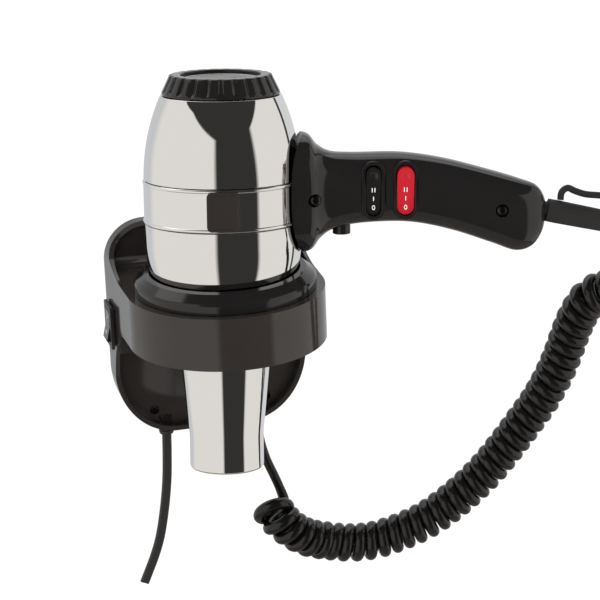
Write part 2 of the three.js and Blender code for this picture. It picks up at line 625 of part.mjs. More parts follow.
function buildHandle(group) {
  buildHandleHalves(group);
  for (const [place, at] of Object.entries(HANDLE_SCREWS)) {
    add(group, `handle_screw_${place}`, buildHandleScrew(at), STEEL);
  }
  buildRockerSet(group, 'speed', GLOSS_BLACK);
  buildRockerSet(group, 'heat', RED);
  const { x, r, bottom } = BUTTON;
  const button = revolve([
    [0, bottom], [r - 1, bottom], [r, bottom + 1], [r, -17.5], [r + 1.6, -17.5], [r + 1.6, -16], [0, -16],
  ], 24);
  add(group, 'cold_shot_button', button.translate(x, 0, 0), GLOSS_BLACK);
  const spring = [];
  for (let i = 0; i <= 40; i++) {
    const angle = (2 * Math.PI * i) / 10;
    spring.push([x + 3.2 * Math.cos(angle), 3.2 * Math.sin(angle), -15.1 + (6.4 * i) / 40]);
  }
  add(group, 'cold_shot_spring', swept(polygon(0.45, 4), spring, 36), STEEL);
  add(group, 'cold_shot_switch', block(x - 6, x + 6, -5, 5, -7.8, 1), SATIN_BLACK);
  buildCordEnd(group);
}

// Strain relief: a ribbed taper that starts in the handle's end, with a flexible hanging loop above it.
function buildCordEnd(group) {
  const { x, z, slope, length } = RELIEF;
  const bore = FLEX / 2 + GAP;
  const profile = [[bore, -9], [4.9, -9], [4.9, 2.2], [6.8, 2.2], [6.9, 8], [6.5, 36], [5.2, length - 1],
    [4.6, length], [bore, length]];
  const tilt = THREE.MathUtils.degToRad(90 - slope);
  const relief = revolve(profile, 24).rotateY(tilt).translate(x, 0, z);
  add(group, 'strain_relief', relief, SATIN_BLACK);
  const loop = [[200.5, 0, -8.6], [201.3, 0, -4], [204.6, 0, -1.6], [209, 0, -3.4], [215, 0, -5.4],
    [224, 0, -6.4], [233, 0, -7.2], [238, 0, -9.6], [236.6, 0, -13.2], [230.5, 0, -14.3]];
  add(group, 'hang_loop', swept(polygon(2, 8), loop, 26), SATIN_BLACK);
  const clamp = solid(block(171.5, 177.5, -8, 8, -15.5, -9.5))
    .subtract(solid(rod(1.2, [174.5, -5.5, -20], [174.5, -5.5, 0])));
  add(group, 'lead_clamp', clamp, NATURAL);
}

const assembly = new THREE.Group();
const holder = new THREE.Group();
const dryer = new THREE.Group();
const barrel = new THREE.Group();
assembly.add(holder, dryer);
dryer.add(barrel);
dryer.position.set(...LEAN_PIVOT);
dryer.rotation.set(
  THREE.MathUtils.degToRad(LEAN_BACK), THREE.MathUtils.degToRad(LEAN_SIDE),
  THREE.MathUtils.degToRad(HANDLE_YAW), 'ZXY');
barrel.position.set(...BARREL_OFFSET);
buildHolder(holder);
buildLeads(holder);
buildBarrel(barrel);
buildHandle(barrel);
export default assembly;
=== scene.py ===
import json
import math

import bmesh
import bpy
from mathutils import Matrix, Vector


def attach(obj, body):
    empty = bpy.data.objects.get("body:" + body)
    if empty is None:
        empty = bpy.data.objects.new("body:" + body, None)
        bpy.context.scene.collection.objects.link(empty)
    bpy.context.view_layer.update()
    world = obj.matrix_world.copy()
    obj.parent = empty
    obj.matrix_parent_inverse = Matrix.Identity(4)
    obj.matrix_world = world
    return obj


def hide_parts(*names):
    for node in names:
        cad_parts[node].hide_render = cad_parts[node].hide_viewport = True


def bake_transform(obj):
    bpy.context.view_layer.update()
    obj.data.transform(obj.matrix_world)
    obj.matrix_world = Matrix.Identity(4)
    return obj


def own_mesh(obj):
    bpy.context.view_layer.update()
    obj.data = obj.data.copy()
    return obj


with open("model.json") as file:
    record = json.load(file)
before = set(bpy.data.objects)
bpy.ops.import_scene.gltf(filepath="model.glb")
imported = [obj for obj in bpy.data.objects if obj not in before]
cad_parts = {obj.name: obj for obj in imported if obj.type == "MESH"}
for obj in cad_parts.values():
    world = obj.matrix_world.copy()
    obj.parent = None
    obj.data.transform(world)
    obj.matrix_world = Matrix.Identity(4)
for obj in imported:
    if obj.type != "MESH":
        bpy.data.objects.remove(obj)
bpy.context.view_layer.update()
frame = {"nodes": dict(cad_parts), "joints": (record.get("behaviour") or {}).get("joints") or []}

# ---- Camera ----
# A long lens looks down on the front of the holder from its left side, tipped by two degrees, with the
# dryer's handle, its cord end and the far part of the coiled lead running out of the right edge.
MM = 0.001
camera_place = Vector((-295.5, -1434.6, 508.0)) * MM
camera_aim = Vector((45.2, -68.0, 26.95)) * MM
camera_tip = math.radians(2.25)
backward = (camera_place - camera_aim).normalized()
level = Vector((0, 0, 1)).cross(backward).normalized()
upright = backward.cross(level)
across = level * math.cos(camera_tip) - upright * math.sin(camera_tip)
upward = upright * math.cos(camera_tip) + level * math.sin(camera_tip)
lens = bpy.data.cameras.new("camera")
lens.sensor_width = 36
lens.lens = 148.5
camera = bpy.data.objects.new("camera", lens)
camera_turn = Matrix((across, upward, backward)).transposed().to_4x4()
camera.matrix_world = Matrix.Translation(camera_place) @ camera_turn
bpy.context.scene.collection.objects.link(camera)
bpy.context.scene.camera = camera
bpy.context.scene.view_settings.view_transform = "Standard"


# ---- Studio ----
# A pale floor under the holder, white all round, and soft lights. Only reflections see a drum round the
# object, the studio's panels: pale ones either side of a dark gap, a dark ceiling in front, and a grey floor.
class Amount:
    """One value inside a finish. Plain arithmetic on it adds the Math nodes that work the sum out."""

    def __init__(self, finish, socket):
        self.finish = finish
        self.socket = socket

    def sum_of(self, operation, first, second):
        return self.finish.node("ShaderNodeMath", {"operation": operation}, {0: first, 1: second})

    def __add__(self, other):
        return self.sum_of("ADD", self, other)

    def __sub__(self, other):
        return self.sum_of("SUBTRACT", self, other)

    def __rsub__(self, other):
        return self.sum_of("SUBTRACT", other, self)

    def __mul__(self, other):
        return self.sum_of("MULTIPLY", self, other)

    def __truediv__(self, other):
        return self.sum_of("DIVIDE", self, other)

    __radd__ = __add__
    __rmul__ = __mul__


class Finish:
    """A surface finish: a principled shader whose even values are set and whose uneven ones are linked."""

    def __init__(self, name, colour, roughness, metallic=0.0, **others):
        self.material = bpy.data.materials.new(name)
        self.material.use_nodes = True
        self.material.diffuse_color = (*colour, 1)
        self.tree = self.material.node_tree
        self.shader = self.tree.nodes["Principled BSDF"]
        self.shader.inputs["Base Color"].default_value = (*colour, 1)
        self.shader.inputs["Roughness"].default_value = roughness
        self.shader.inputs["Metallic"].default_value = metallic
        for socket, value in others.items():
            self.shader.inputs[socket.replace("_", " ")].default_value = value

    def node(self, kind, settings=None, values=None, output=0):
        made = self.tree.nodes.new(kind)
        for setting, value in (settings or {}).items():
            if setting == "stops":
                ramp = made.color_ramp.elements
                while len(ramp) < len(value):
                    ramp.new(0.5)
                for stop, (position, tone) in zip(ramp, value):
                    stop.position = position
                    stop.color = (*tone, 1) if isinstance(tone, tuple) else (tone, tone, tone, 1)
            else:
                setattr(made, setting, value)
        for socket, value in (values or {}).items():
            if isinstance(value, Amount):
                self.tree.links.new(value.socket, made.inputs[socket])
            else:
                made.inputs[socket].default_value = value
        return Amount(self, made.outputs[output])

    def feed(self, socket, amount):
        self.tree.links.new(amount.socket, self.shader.inputs[socket])


def put_on_stage(name, form, finish):
    mesh = bpy.data.meshes.new(name)
    form.to_mesh(mesh)
    form.free()
    mesh.materials.append(finish.material)
    made = bpy.data.objects.new(name, mesh)
    bpy.context.scene.collection.objects.link(made)
    return made


FLOOR_LEVEL = -0.75
floor_form = bmesh.new()
bmesh.ops.create_circle(floor_form, cap_ends=True, segments=64, radius=16)
bmesh.ops.translate(floor_form, verts=floor_form.verts, vec=(0, 0, FLOOR_LEVEL))
put_on_stage("floor", floor_form, Finish("floor_paint", (0.9, 0.9, 0.895), 0.8))

DRUM_RADIUS = 0.9
DRUM_TOP = 0.78
PALE, WARM, DARK, SIDE = (0.57, 0.58, 0.59), (0.755, 0.73, 0.69), 0.032, (0.66, 0.66, 0.67)


def panels(name, gap_half, flare, strength):
    """A finish that glows by its bearing: pale and warm panels, and a dark gap that flares upwards."""
    finish = Finish(name, (0, 0, 0), 1.0, Specular_IOR_Level=0.0, Emission_Strength=strength)
    place = finish.node("ShaderNodeTexCoord", output="Object")
    x, y, z = (finish.node("ShaderNodeSeparateXYZ", {}, {0: place}, axis) for axis in range(3))
    bearing = finish.node("ShaderNodeMath", {"operation": "ARCTAN2"}, {0: x, 1: y * -1.0}) * (180 / math.pi)
    shade = (DARK / strength, 0.97 * DARK / strength, 0.92 * DARK / strength)
    stops = [(-180, PALE), (-140, PALE), (-126, WARM), (102.5, WARM), (103.5, shade), (108.5, shade),
             (109.5, SIDE), (180, SIDE)]
    round_about = finish.node("ShaderNodeValToRGB", {"stops": [(a / 360 + 0.5, tone) for a, tone in stops]},
                              {0: bearing / 360 + 0.5})
    above = finish.node("ShaderNodeMath", {"operation": "MAXIMUM"}, {0: z - 0.545, 1: 0.0})
    aside = finish.node("ShaderNodeMath", {"operation": "ABSOLUTE"}, {0: bearing - 7.5})
    gap = finish.node("ShaderNodeMath", {"operation": "SUBTRACT", "use_clamp": True},
                      {0: (above * flare + gap_half + 2.5 - aside) / 5, 1: 0.0})
    finish.feed("Emission Color", finish.node("ShaderNodeMix", {"data_type": "RGBA"},
                                              {0: gap, 6: round_about, 7: (*shade, 1)}, 2))
    return finish


drum_form = bmesh.new()
bmesh.ops.create_cone(drum_form, cap_ends=False, segments=180, radius1=DRUM_RADIUS, radius2=DRUM_RADIUS,
                      depth=DRUM_TOP - FLOOR_LEVEL)
bmesh.ops.translate(drum_form, verts=drum_form.verts, vec=(0, 0, (DRUM_TOP + FLOOR_LEVEL) / 2))
drum = put_on_stage("panel_drum", drum_form, panels("panel_glow", 28.5, 190.0, 1.0))
lid_form = bmesh.new()
bmesh.ops.create_circle(lid_form, cap_ends=True, cap_tris=True, segments=180, radius=DRUM_RADIUS)
bmesh.ops.translate(lid_form, verts=lid_form.verts, vec=(0, 0, DRUM_TOP))
lid = put_on_stage("ceiling_panels", lid_form, panels("ceiling_glow", 104, 0.0, 1.9))
under_form = bmesh.new()
bmesh.ops.create_circle(under_form, cap_ends=True, segments=64, radius=DRUM_RADIUS)
bmesh.ops.translate(under_form, verts=under_form.verts, vec=(0, 0, FLOOR_LEVEL + 0.01))
under = put_on_stage("floor_panel", under_form, Finish(
    "floor_glow", (0, 0, 0), 1.0, Emission_Color=(0.30, 0.265, 0.245, 1), Emission_Strength=1.0))
for panel in (drum, lid, under):
    panel.visible_camera = panel.visible_diffuse = panel.visible_shadow = False
    panel.visible_transmission = panel.visible_volume_scatter = False

world = bpy.data.worlds.new("white_room")
world.use_nodes = True
world.node_tree.nodes["Background"].inputs["Color"].default_value = (1.0, 1.0, 1.0, 1)
world.node_tree.nodes["Background"].inputs["Strength"].default_value = 1.15
bpy.context.scene.world = world


def soft_light(name, bearing, rise, distance, size, power):
    """A square soft light aimed at the dryer from that bearing and rise, in degrees."""
    light = bpy.data.lights.new(name, "AREA")
    light.size = size
    light.energy = power
    a, e = math.radians(bearing), math.radians(rise)
    towards = Vector((math.sin(a) * math.cos(e), -math.cos(a) * math.cos(e), math.sin(e)))
    made = bpy.data.objects.new(name, light)
    made.matrix_world = Matrix.Translation(Vector((0.05, -0.07, 0.05)) + towards * distance) @ (
        towards.to_track_quat("Z", "Y").to_matrix().to_4x4())
    made.visible_camera = False
    made.visible_glossy = False
    bpy.context.scene.collection.objects.link(made)


soft_light("key_light", -50, 50, 1.6, 1.0, 5)
soft_light("fill_light", 20, -12, 1.5, 1.0, 7)

# ---- Leads ----
# The coiled lead is one round plastic cord, wound hot on a bar so that it springs back, with a straight
# tail at each end: the lower comes out of the holder's gland, the upper goes into the dryer's strain relief.
# The mains lead is flat and two-cored, and is cut bare below the holder.
IN_ROW = Matrix.Scale(MM, 4)


def curve_through(points, step):
    """Points a step apart along a smooth curve through the given ones."""
    ends = [Vector(p) for p in points]
    ends = [2 * ends[0] - ends[1], *ends, 2 * ends[-1] - ends[-2]]
    walk = []
    for a, b, c, d in zip(ends, ends[1:], ends[2:], ends[3:]):
        t1 = (b - a).length ** 0.5
        t2 = t1 + (c - b).length ** 0.5
        t3 = t2 + (d - c).length ** 0.5
        for i in range(16):
            t = t1 + (t2 - t1) * i / 16
            ab, bc, cd = a.lerp(b, t / t1), b.lerp(c, (t - t1) / (t2 - t1)), c.lerp(d, (t - t2) / (t3 - t2))
            walk.append(ab.lerp(bc, t / t2).lerp(bc.lerp(cd, (t - t1) / (t3 - t1)), (t - t1) / (t2 - t1)))
    walk.append(ends[-2])
    gone = [0.0]
    for p, q in zip(walk, walk[1:]):
        gone.append(gone[-1] + (q - p).length)
    count = max(2, round(gone[-1] / step))
    even, k = [], 0
    for i in range(count + 1):
        wanted = gone[-1] * i / count
        while k < len(gone) - 2 and gone[k + 1] < wanted:
            k += 1
        even.append(walk[k].lerp(walk[k + 1], (wanted - gone[k]) / max(gone[k + 1] - gone[k], 1e-9)))
    return even


def frames_on(line, side):
    """Each point of the line with two directions square to the line, the first one nearest to side."""
    side = Vector(side)
    for i, point in enumerate(line):
        along = (line[min(i + 1, len(line) - 1)] - line[max(i - 1, 0)]).normalized()
        side = (side - along * side.dot(along)).normalized()
        yield point, side, along.cross(side)


def loft(rows, columns, place):
    """A tube bent from a flat grid: place(row, column) says where a point goes, and the long edges join."""
    form = bmesh.new()
    form.loops.layers.uv.new("UVMap")
    bmesh.ops.create_grid(form, x_segments=rows - 1, y_segments=columns, size=1, calc_uvs=True)
    for vertex in form.verts:
        row = round((vertex.co.x + 1) / 2 * (rows - 1))
        column = round((vertex.co.y + 1) / 2 * columns)
        vertex.co = place(row, column % columns)
    bmesh.ops.remove_doubles(form, verts=form.verts, dist=1e-5)
    bmesh.ops.holes_fill(form, edges=[e for e in form.edges if e.is_boundary], sides=0)
    bmesh.ops.recalc_face_normals(form, faces=form.faces)
    return form


def swept(line, section, side, size=lambda row: 1.0):
    """A section of (side, other) points drawn along the line, at the size that each row has."""
    steps = list(frames_on(line, side))

    def place(row, column):
        point, first, second = steps[row]
        return point + (first * section[column][0] + second * section[column][1]) * size(row)

    return loft(len(line), len(section), place)


def piece(name, form, finish, body, slot, nodes=(), place=IN_ROW, crease=35, rounding=0.0, steps=3):
    """Turns a shape in millimetres into a finished piece in its place, riding on its body if it has one."""
    form.transform(place)
    mesh = bpy.data.meshes.new(name)
    form.to_mesh(mesh)
    form.free()
    mesh.materials.append(finish.material)
    mesh.polygons.foreach_set("use_smooth", [True] * len(mesh.polygons))
    mesh.set_sharp_from_angle(angle=math.radians(crease))
    made = bpy.data.objects.new(name, mesh)
    bpy.context.scene.collection.objects.link(made)
    if rounding:
        edges = made.modifiers.new("rounded_edges", "BEVEL")
        edges.width = rounding * MM
        edges.segments = steps
        edges.limit_method = "ANGLE"
        edges.angle_limit = math.radians(crease)
        edges.harden_normals = True
    if body:
        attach(made, body)
    if nodes:
        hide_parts(*nodes)
    return made


def circle(r, sides):
    return [(r * math.cos(2 * math.pi * i / sides),
             r * math.sin(2 * math.pi * i / sides)) for i in range(sides)]


def lead_finish(name, colour, roughness):
    """Drawn plastic cord: faint lines along it from the die, a slightly cloudy gloss and a trace of dust."""
    finish = Finish(name, colour, roughness)
    run = finish.node("ShaderNodeTexCoord", output="UV")
    lines = finish.node("ShaderNodeMapping", {}, {0: run, "Scale": (60, 24, 1)})
    drawn = finish.node("ShaderNodeTexNoise", {}, {"Vector": lines, "Scale": 3.0, "Detail": 3.0})
    place = finish.node("ShaderNodeTexCoord", output="Object")
    dust = finish.node("ShaderNodeTexNoise", {}, {"Vector": place, "Scale": 900.0, "Detail": 5.0})
    finish.feed("Roughness", roughness + (dust - 0.5) * 0.16)
    lighter = tuple(1.7 * c for c in colour)
    finish.feed("Base Color", finish.node(
        "ShaderNodeMix", {"data_type": "RGBA"}, {0: dust, 6: (*colour, 1), 7: (*lighter, 1)}, 2))
    finish.feed("Normal", finish.node("ShaderNodeBump", {}, {
        "Strength": 0.25, "Distance": 0.0002, "Height": drawn + dust * 0.3}))
    return finish


coil_plastic = lead_finish("coiled_lead_plastic", (0.0042, 0.0038, 0.0036), 0.13)
mains_plastic = lead_finish("mains_lead_plastic", (0.014, 0.013, 0.012), 0.42)

TAIL_RADIUS, WOUND_RADIUS = 3.0, 3.9
COIL_TURNS = 40
COIL_RADIUS = 8.7
LOWER_TAIL = [(29.5, -7, -66), (29.5, -7, -72.2), (30.4, -7, -84), (33.8, -7, -98), (38.4, -7, -110),
              (41.4, -7.2, -118)]
COIL_ROUTE = [(34.5, -12, -129), (37, -19, -134), (44, -22, -142), (55, -22, -150), (70, -21, -155.5),
              (85, -24, -157.5), (99, -27, -156.5), (115, -31, -151.5), (131, -35, -144), (144, -38, -135),
              (156, -42, -124), (170, -46, -109), (182, -50, -92.5), (192, -54, -77), (201, -58, -62),
              (208, -63, -45.5), (213, -67, -30), (217, -71, -14), (221, -76, 0), (226.5, -81, 11),
              (236, -87, 18)]
UPPER_TAIL = [(251, -101.5, 34), (253, -109, 46), (249.5, -115, 56.5), (240.5, -116.9, 64),
              (229.2, -114.8, 67.7), (222, -113, 69.5)]
coil_axis = curve_through(COIL_ROUTE, 0.5)
coil_frames = list(frames_on(coil_axis, (1, 0, 1)))
coil_points = []
for i in range(COIL_TURNS * 16 + 1):
    share = i / (COIL_TURNS * 16)
    point, first, second = coil_frames[round(share * (len(coil_frames) - 1))]
    turn = -0.25 * math.pi - 2 * math.pi * COIL_TURNS * share
    loose = COIL_RADIUS + 1.4 * max(0.0, 1 - 0.4 * share * COIL_TURNS)
    coil_points.append(point + loose * (first * math.cos(turn) + second * math.sin(turn)))
coiled_line = curve_through([*LOWER_TAIL, *coil_points, *UPPER_TAIL], 1.5)


def cord_width(row):
    """The lead is a little thicker where it is wound than along its straight tails."""
    wound = min(1.0, max(0.0, (row - 37) / 12), max(0.0, (len(coiled_line) - 75 - row) / 12))
    return TAIL_RADIUS + (WOUND_RADIUS - TAIL_RADIUS) * wound


coiled_lead = piece("coiled_flex", swept(coiled_line, circle(1, 14), (0, 1, 0), cord_width), coil_plastic,
                    None, "cord_black", ["lead_lower_tail", "curly_lead", "lead_upper_tail"])
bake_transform(coiled_lead)
[p * MM for p in coiled_line]

MAINS_ROUTE = [(-29.5, -7, -66), (-29.5, -7, -72.2), (-30, -7.6, -84), (-31.5, -9, -103), (-34.5, -10, -123),
               (-38.5, -10, -142), (-43, -10, -155), (-46.5, -10, -163), (-50, -10, -171)]
MAINS_WIDTH = 6.0
MAINS_HEIGHT = 3.4
flat_section = []
for x, y in circle(1, 28):
    reach = math.copysign(MAINS_WIDTH / 2 - MAINS_HEIGHT / 2, x) if abs(x) > 0.02 else 0
    waist = 0.45 * math.exp(-(reach + x * MAINS_HEIGHT / 2) ** 2 / 0.35)
    flat_section.append((reach + x * MAINS_HEIGHT / 2, y * (MAINS_HEIGHT / 2 - waist)))
mains_line = curve_through(MAINS_ROUTE, 2)
mains_lead = piece("mains_flex", swept(mains_line, flat_section, (1, 0, 0)), mains_plastic, "holder",
                   "cord_black", ["mains_lead"])
[p * MM for p in mains_line]


# ---- Holder housing ----
# One gloss black moulding: a rounded back housing that sweeps forward into a round ring, with a cup moulded
# inside the ring and two recesses in front of the housing's web, above and below the ring.
HALF_WIDTH = 61.0
HALF_HEIGHT = 69.0
HOUSING_WALL = 3.0
RING_Y = -68.0
RING_RADIUS = 59.3
RING_TOP = 41.0
RING_BOTTOM = 9.0
WEB_FRONT = -5.8
SCREW_PLACES = {"left": (-36, -56), "right": (36, -56), "top": (0, 56)}
SWITCH_Y, SWITCH_Z = -14.0, 7.0
GLAND_X, GLAND_Y = 29.5, -7.0


def arc(cx, cy, rx, ry, start, end, steps=20):
    """Points on an ellipse's arc, from one angle to another, in degrees."""
    turns = [math.radians(start + (end - start) * i / steps) for i in range(steps + 1)]
    return [(cx + rx * math.cos(t), cy + ry * math.sin(t)) for t in turns]


FORWARD = Matrix(((1, 0, 0, 0), (0, 0, 1, 0), (0, 1, 0, 0), (0, 0, 0, 1)))
SIDEWAYS = Matrix(((0, 0, 1, 0), (1, 0, 0, 0), (0, 1, 0, 0), (0, 0, 0, 1)))
UPWARDS = Matrix.Identity(4)


def slab(outline, way, low, high):
    """A drawn outline made thick: FORWARD is drawn in x and z, SIDEWAYS in y and z, UPWARDS in x and y."""
    form = bmesh.new()
    face = form.faces.new([form.verts.new((a, b, low)) for a, b in outline])
    raised = bmesh.ops.extrude_face_region(form, geom=[face])["geom"]
    tops = [v for v in raised if isinstance(v, bmesh.types.BMVert)]
    bmesh.ops.translate(form, verts=tops, vec=(0, 0, high - low))
    form.transform(way)
    bmesh.ops.remove_doubles(form, verts=form.verts, dist=1e-4)
    bmesh.ops.recalc_face_normals(form, faces=form.faces)
    return form


def block(low, high):
    form = bmesh.new()
    bmesh.ops.create_cube(form, size=1)
    bmesh.ops.scale(form, verts=form.verts, vec=[b - a for a, b in zip(low, high)])
    bmesh.ops.translate(form, verts=form.verts, vec=[(a + b) / 2 for a, b in zip(low, high)])
    return form


def rod(r, start, end, sides=48):
    form = bmesh.new()
    run = Vector(end) - Vector(start)
    bmesh.ops.create_cone(form, cap_ends=True, segments=sides, radius1=r, radius2=r, depth=run.length)
    turn = run.to_track_quat("Z", "Y").to_matrix().to_4x4()
    form.transform(Matrix.Translation((Vector(start) + Vector(end)) / 2) @ turn)
    return form


def joined(way, form, *tools):
    """Cuts the tools from a shape, adds them to it or keeps only what it shares with each of them."""
    for tool in tools:
        pair = []
        for part in (form, tool):
            mesh = bpy.data.meshes.new("rough")
            part.to_mesh(mesh)
            part.free()
            pair.append(bpy.data.objects.new("rough", mesh))
            bpy.context.scene.collection.objects.link(pair[-1])
        meeting = pair[0].modifiers.new("meeting", "BOOLEAN")
        meeting.operation = way
        meeting.solver = "EXACT"
        meeting.object = pair[1]
        bpy.context.view_layer.update()
        form = bmesh.new()
        form.from_object(pair[0], bpy.context.evaluated_depsgraph_get())
        for part in pair:
            mesh = part.data
            bpy.data.objects.remove(part)
            bpy.data.meshes.remove(mesh)
        bmesh.ops.remove_doubles(form, verts=form.verts, dist=2e-3)
        bmesh.ops.dissolve_degenerate(form, edges=form.edges, dist=2e-3)
    return form


def moulded(name, colour, roughness, spread, grain, depth, **others):
    """Moulded plastic: a slightly cloudy gloss, a fine skin of grain and a little dust that lightens it."""
    finish = Finish(name, colour, roughness, **others)
    place = finish.node("ShaderNodeTexCoord", output="Object")
    cloud = finish.node("ShaderNodeTexNoise", {}, {"Vector": place, "Scale": 45.0, "Detail": 4.0})
    skin = finish.node("ShaderNodeTexNoise", {}, {"Vector": place, "Scale": grain, "Detail": 3.0})
    dust = finish.node("ShaderNodeValToRGB", {"stops": [(0.62, 0.0), (0.8, 1.0)]}, {0: finish.node(
        "ShaderNodeTexNoise", {}, {"Vector": place, "Scale": 2600.0, "Detail": 2.0})})
    finish.feed("Roughness", roughness + (cloud - 0.5) * spread + dust * 0.05)
    lighter = tuple(min(1.0, 1.5 * c + 0.006) for c in colour)
    finish.feed("Base Color", finish.node(
        "ShaderNodeMix", {"data_type": "RGBA"}, {0: cloud * 0.4 + dust * 0.25, 6: (*colour, 1),
                                                 7: (*lighter, 1)}, 2))
    finish.feed("Normal", finish.node("ShaderNodeBump", {}, {
        "Strength": 0.3, "Distance": depth, "Height": skin + cloud * 2.0}))
    return finish


def housing_outline(inset):
    """The housing seen from the front: round shoulders above and long elliptic corners below."""
    x, z, top = HALF_WIDTH - inset, HALF_HEIGHT - inset, 25 - inset
    low_x, low_z = 38 - inset, 46 - inset
    return [*arc(x - top, z - top, top, top, 0, 90, 24), *arc(-x + top, z - top, top, top, 90, 180, 24),
            *arc(-x + low_x, -z + low_z, low_x, low_z, 180, 270, 32),
            *arc(x - low_x, -z + low_z, low_x, low_z, 270, 360, 32)]


def recess(edge, way, fillet):
    """The space in front of the web beyond a ring edge, with a round fillet where the web meets the ring."""
    far = edge + way * 120
    bend = arc(WEB_FRONT - fillet, edge + way * fillet, fillet, fillet, -way * 90, 0, 20)
    side = slab([(WEB_FRONT, far), (-200, far), (-200, edge), *bend], SIDEWAYS, -80, 80)
    return joined("INTERSECT", side, slab(housing_outline(HOUSING_WALL), FORWARD, 1, -200))


gloss_black = moulded("gloss_black_plastic", (0.0085, 0.0078, 0.0076), 0.085, 0.05, 700.0, 0.00002)
# The housing's finish is the gloss black plastic with a lighter base colour: the extra lightness is painted
# fill light for the shaded recesses and the ring's front.
housing_black_painted_fill = moulded("housing_plastic_painted_fill", (0.021, 0.0175, 0.016), 0.1, 0.06, 700.0, 0.00002)
side_line = [(0, HALF_HEIGHT), (-8, HALF_HEIGHT), *arc(-50, 60, 41, 60 - RING_TOP, 0, -90, 40),
             (-135, RING_TOP), (-135, RING_BOTTOM), *arc(-50, -36, 36, 36 + RING_BOTTOM, 90, 0, 48),
             (-12.5, -HALF_HEIGHT), (0, -HALF_HEIGHT)]
plan_line = [(HALF_WIDTH, 1), (-HALF_WIDTH, 1), *arc(0, RING_Y, RING_RADIUS, RING_RADIUS, 180, 360, 120)]
housing = joined("INTERSECT", slab(housing_outline(0), FORWARD, 0, -140), slab(side_line, SIDEWAYS, -80, 80),
                 slab(plan_line, UPWARDS, -90, 90))
housing = joined("DIFFERENCE", housing, recess(RING_TOP, 1, 7), recess(RING_BOTTOM, -1, 28))
housing = joined("UNION", housing, block((-58.5, -27, -8.5), (-35, -1, 22)))
housing = joined(
    "DIFFERENCE", housing, rod(50, (0, RING_Y, RING_BOTTOM + 4), (0, RING_Y, 60), 160),
    rod(40, (0, RING_Y, -40), (0, RING_Y, 60), 160),
    slab([(1, 37), (-15, 37), (-15, 9), (-9, 0), (-4, -6), (1, -6)], SIDEWAYS, -54, 54),
    block((-80, SWITCH_Y - 8.5, SWITCH_Z - 12), (-37, SWITCH_Y + 8.5, SWITCH_Z + 12)),
    slab(housing_outline(HOUSING_WALL), FORWARD, 1, -2.8),
    *[rod(3, (x, 5, z), (x, -12, z), 32) for x, z in SCREW_PLACES.values()],
    *[rod(4.2, (x, GLAND_Y, -60), (x, GLAND_Y, -80), 32) for x in (-GLAND_X, GLAND_X)])
piece("housing", housing, housing_black_painted_fill, "holder", "gloss_black", ["holder_shell"], rounding=0.9)

# ---- Back plate, wall screws and terminal block ----
# A black moulded plate closes the back of the housing. Three blackened steel screws, sunk in their holes, go
# through it into the wall, and a nylon block inside joins the mains lead to the coiled lead. The wall screws'
# black finish is painted shade: it stands in for the dark of deep, empty screw holes.
PLATE_THICKNESS = 2.5


def spun(profile, steps=96):
    """A closed outline of (radius, height) points turned about the upright axis."""
    form = bmesh.new()
    ring = [form.verts.new((r, 0, z)) for r, z in profile]
    edges = [form.edges.new(pair) for pair in zip(ring, [*ring[1:], ring[0]])
             if pair[0].co.x > 1e-6 or pair[1].co.x > 1e-6]
    bmesh.ops.spin(form, geom=ring + edges, cent=(0, 0, 0), axis=(0, 0, 1), angle=2 * math.pi, steps=steps,
                   use_merge=True)
    bmesh.ops.remove_doubles(form, verts=form.verts, dist=1e-4)
    bmesh.ops.recalc_face_normals(form, faces=form.faces)
    return form


def moved(form, x, y, z):
    bmesh.ops.translate(form, verts=form.verts, vec=(x, y, z))
    return form


def cross_slot(size, depth):
    """The cross recess that a driver fits: two crossed blades that taper to the tip."""
    blades = []
    for turn in (0, 90):
        blade = block((-size, -size * 0.22, -depth), (size, size * 0.22, 3))
        for vertex in blade.verts:
            if vertex.co.z < 0:
                vertex.co.x *= 0.45
        blade.transform(Matrix.Rotation(math.radians(turn), 4, "Z"))
        blades.append(blade)
    return blades


satin_black = moulded("satin_black_plastic", (0.013, 0.012, 0.0115), 0.42, 0.1, 1500.0, 0.00004)
steel = moulded("zinc_plated_steel", (0.56, 0.56, 0.57), 0.3, 0.16, 900.0, 0.00003, metallic=1.0)
# Blackened steel: the handle screws' own finish, while on the wall screws its darkness is painted shade for
# deep, empty holes.
dark_steel_and_hole_shade = moulded("blackened_steel_and_painted_hole_shade", (0.06, 0.058, 0.055), 0.3, 0.15, 900.0, 0.00003, metallic=1.0)
nylon = moulded("natural_nylon", (0.62, 0.58, 0.50), 0.48, 0.12, 500.0, 0.00005, Subsurface_Weight=0.05)
plate = joined("DIFFERENCE", slab(housing_outline(HOUSING_WALL + 0.3), FORWARD, 0, -PLATE_THICKNESS),
               *[rod(2.4, (x, 5, z), (x, -8, z), 32) for x, z in SCREW_PLACES.values()],
               rod(9, (22, 5, 22), (22, -8, 22), 64))
piece("rear_plate", plate, satin_black, "holder", "satin_black", ["back_plate"], rounding=0.4)
for where, (x, z) in SCREW_PLACES.items():
    head = [(0, 0), (2, 0), (2, 2.6), (2.75, 2.6), (2.75, 4),
            *[(1.9 + 0.85 * math.cos(t), 4 + 0.6 * math.sin(t)) for t in (0.3, 0.6, 0.9, 1.2, 1.5)],
            (0, 4.6)]
    screw = joined("DIFFERENCE", spun(head, 64), *[moved(b, 0, 0, 4.8) for b in cross_slot(1.7, 1.6)])
    screw.transform(Matrix.Translation((x, -0.3, z)) @ Matrix.Rotation(math.radians(90), 4, "X")
                    @ Matrix.Rotation(math.radians(20), 4, "Z"))
    piece("wall_fixing_" + where, screw, dark_steel_and_hole_shade, "holder", "steel", ["wall_screw_" + where],
          rounding=0.1, steps=2)
terminals = joined("DIFFERENCE", block((-12, -13.5, 16), (14, -4.5, 28)),
                   *[rod(2.1, (x, -16, z), (x, -10, z), 24) for x in (-7, 1, 9) for z in (19, 25)],
                   *[block((x - 0.4, -14, 15), (x + 0.4, -6, 29)) for x in (-3, 5)])
piece("terminal_strip", terminals, nylon, "holder", "natural", ["terminal_block"], rounding=0.3, steps=2)

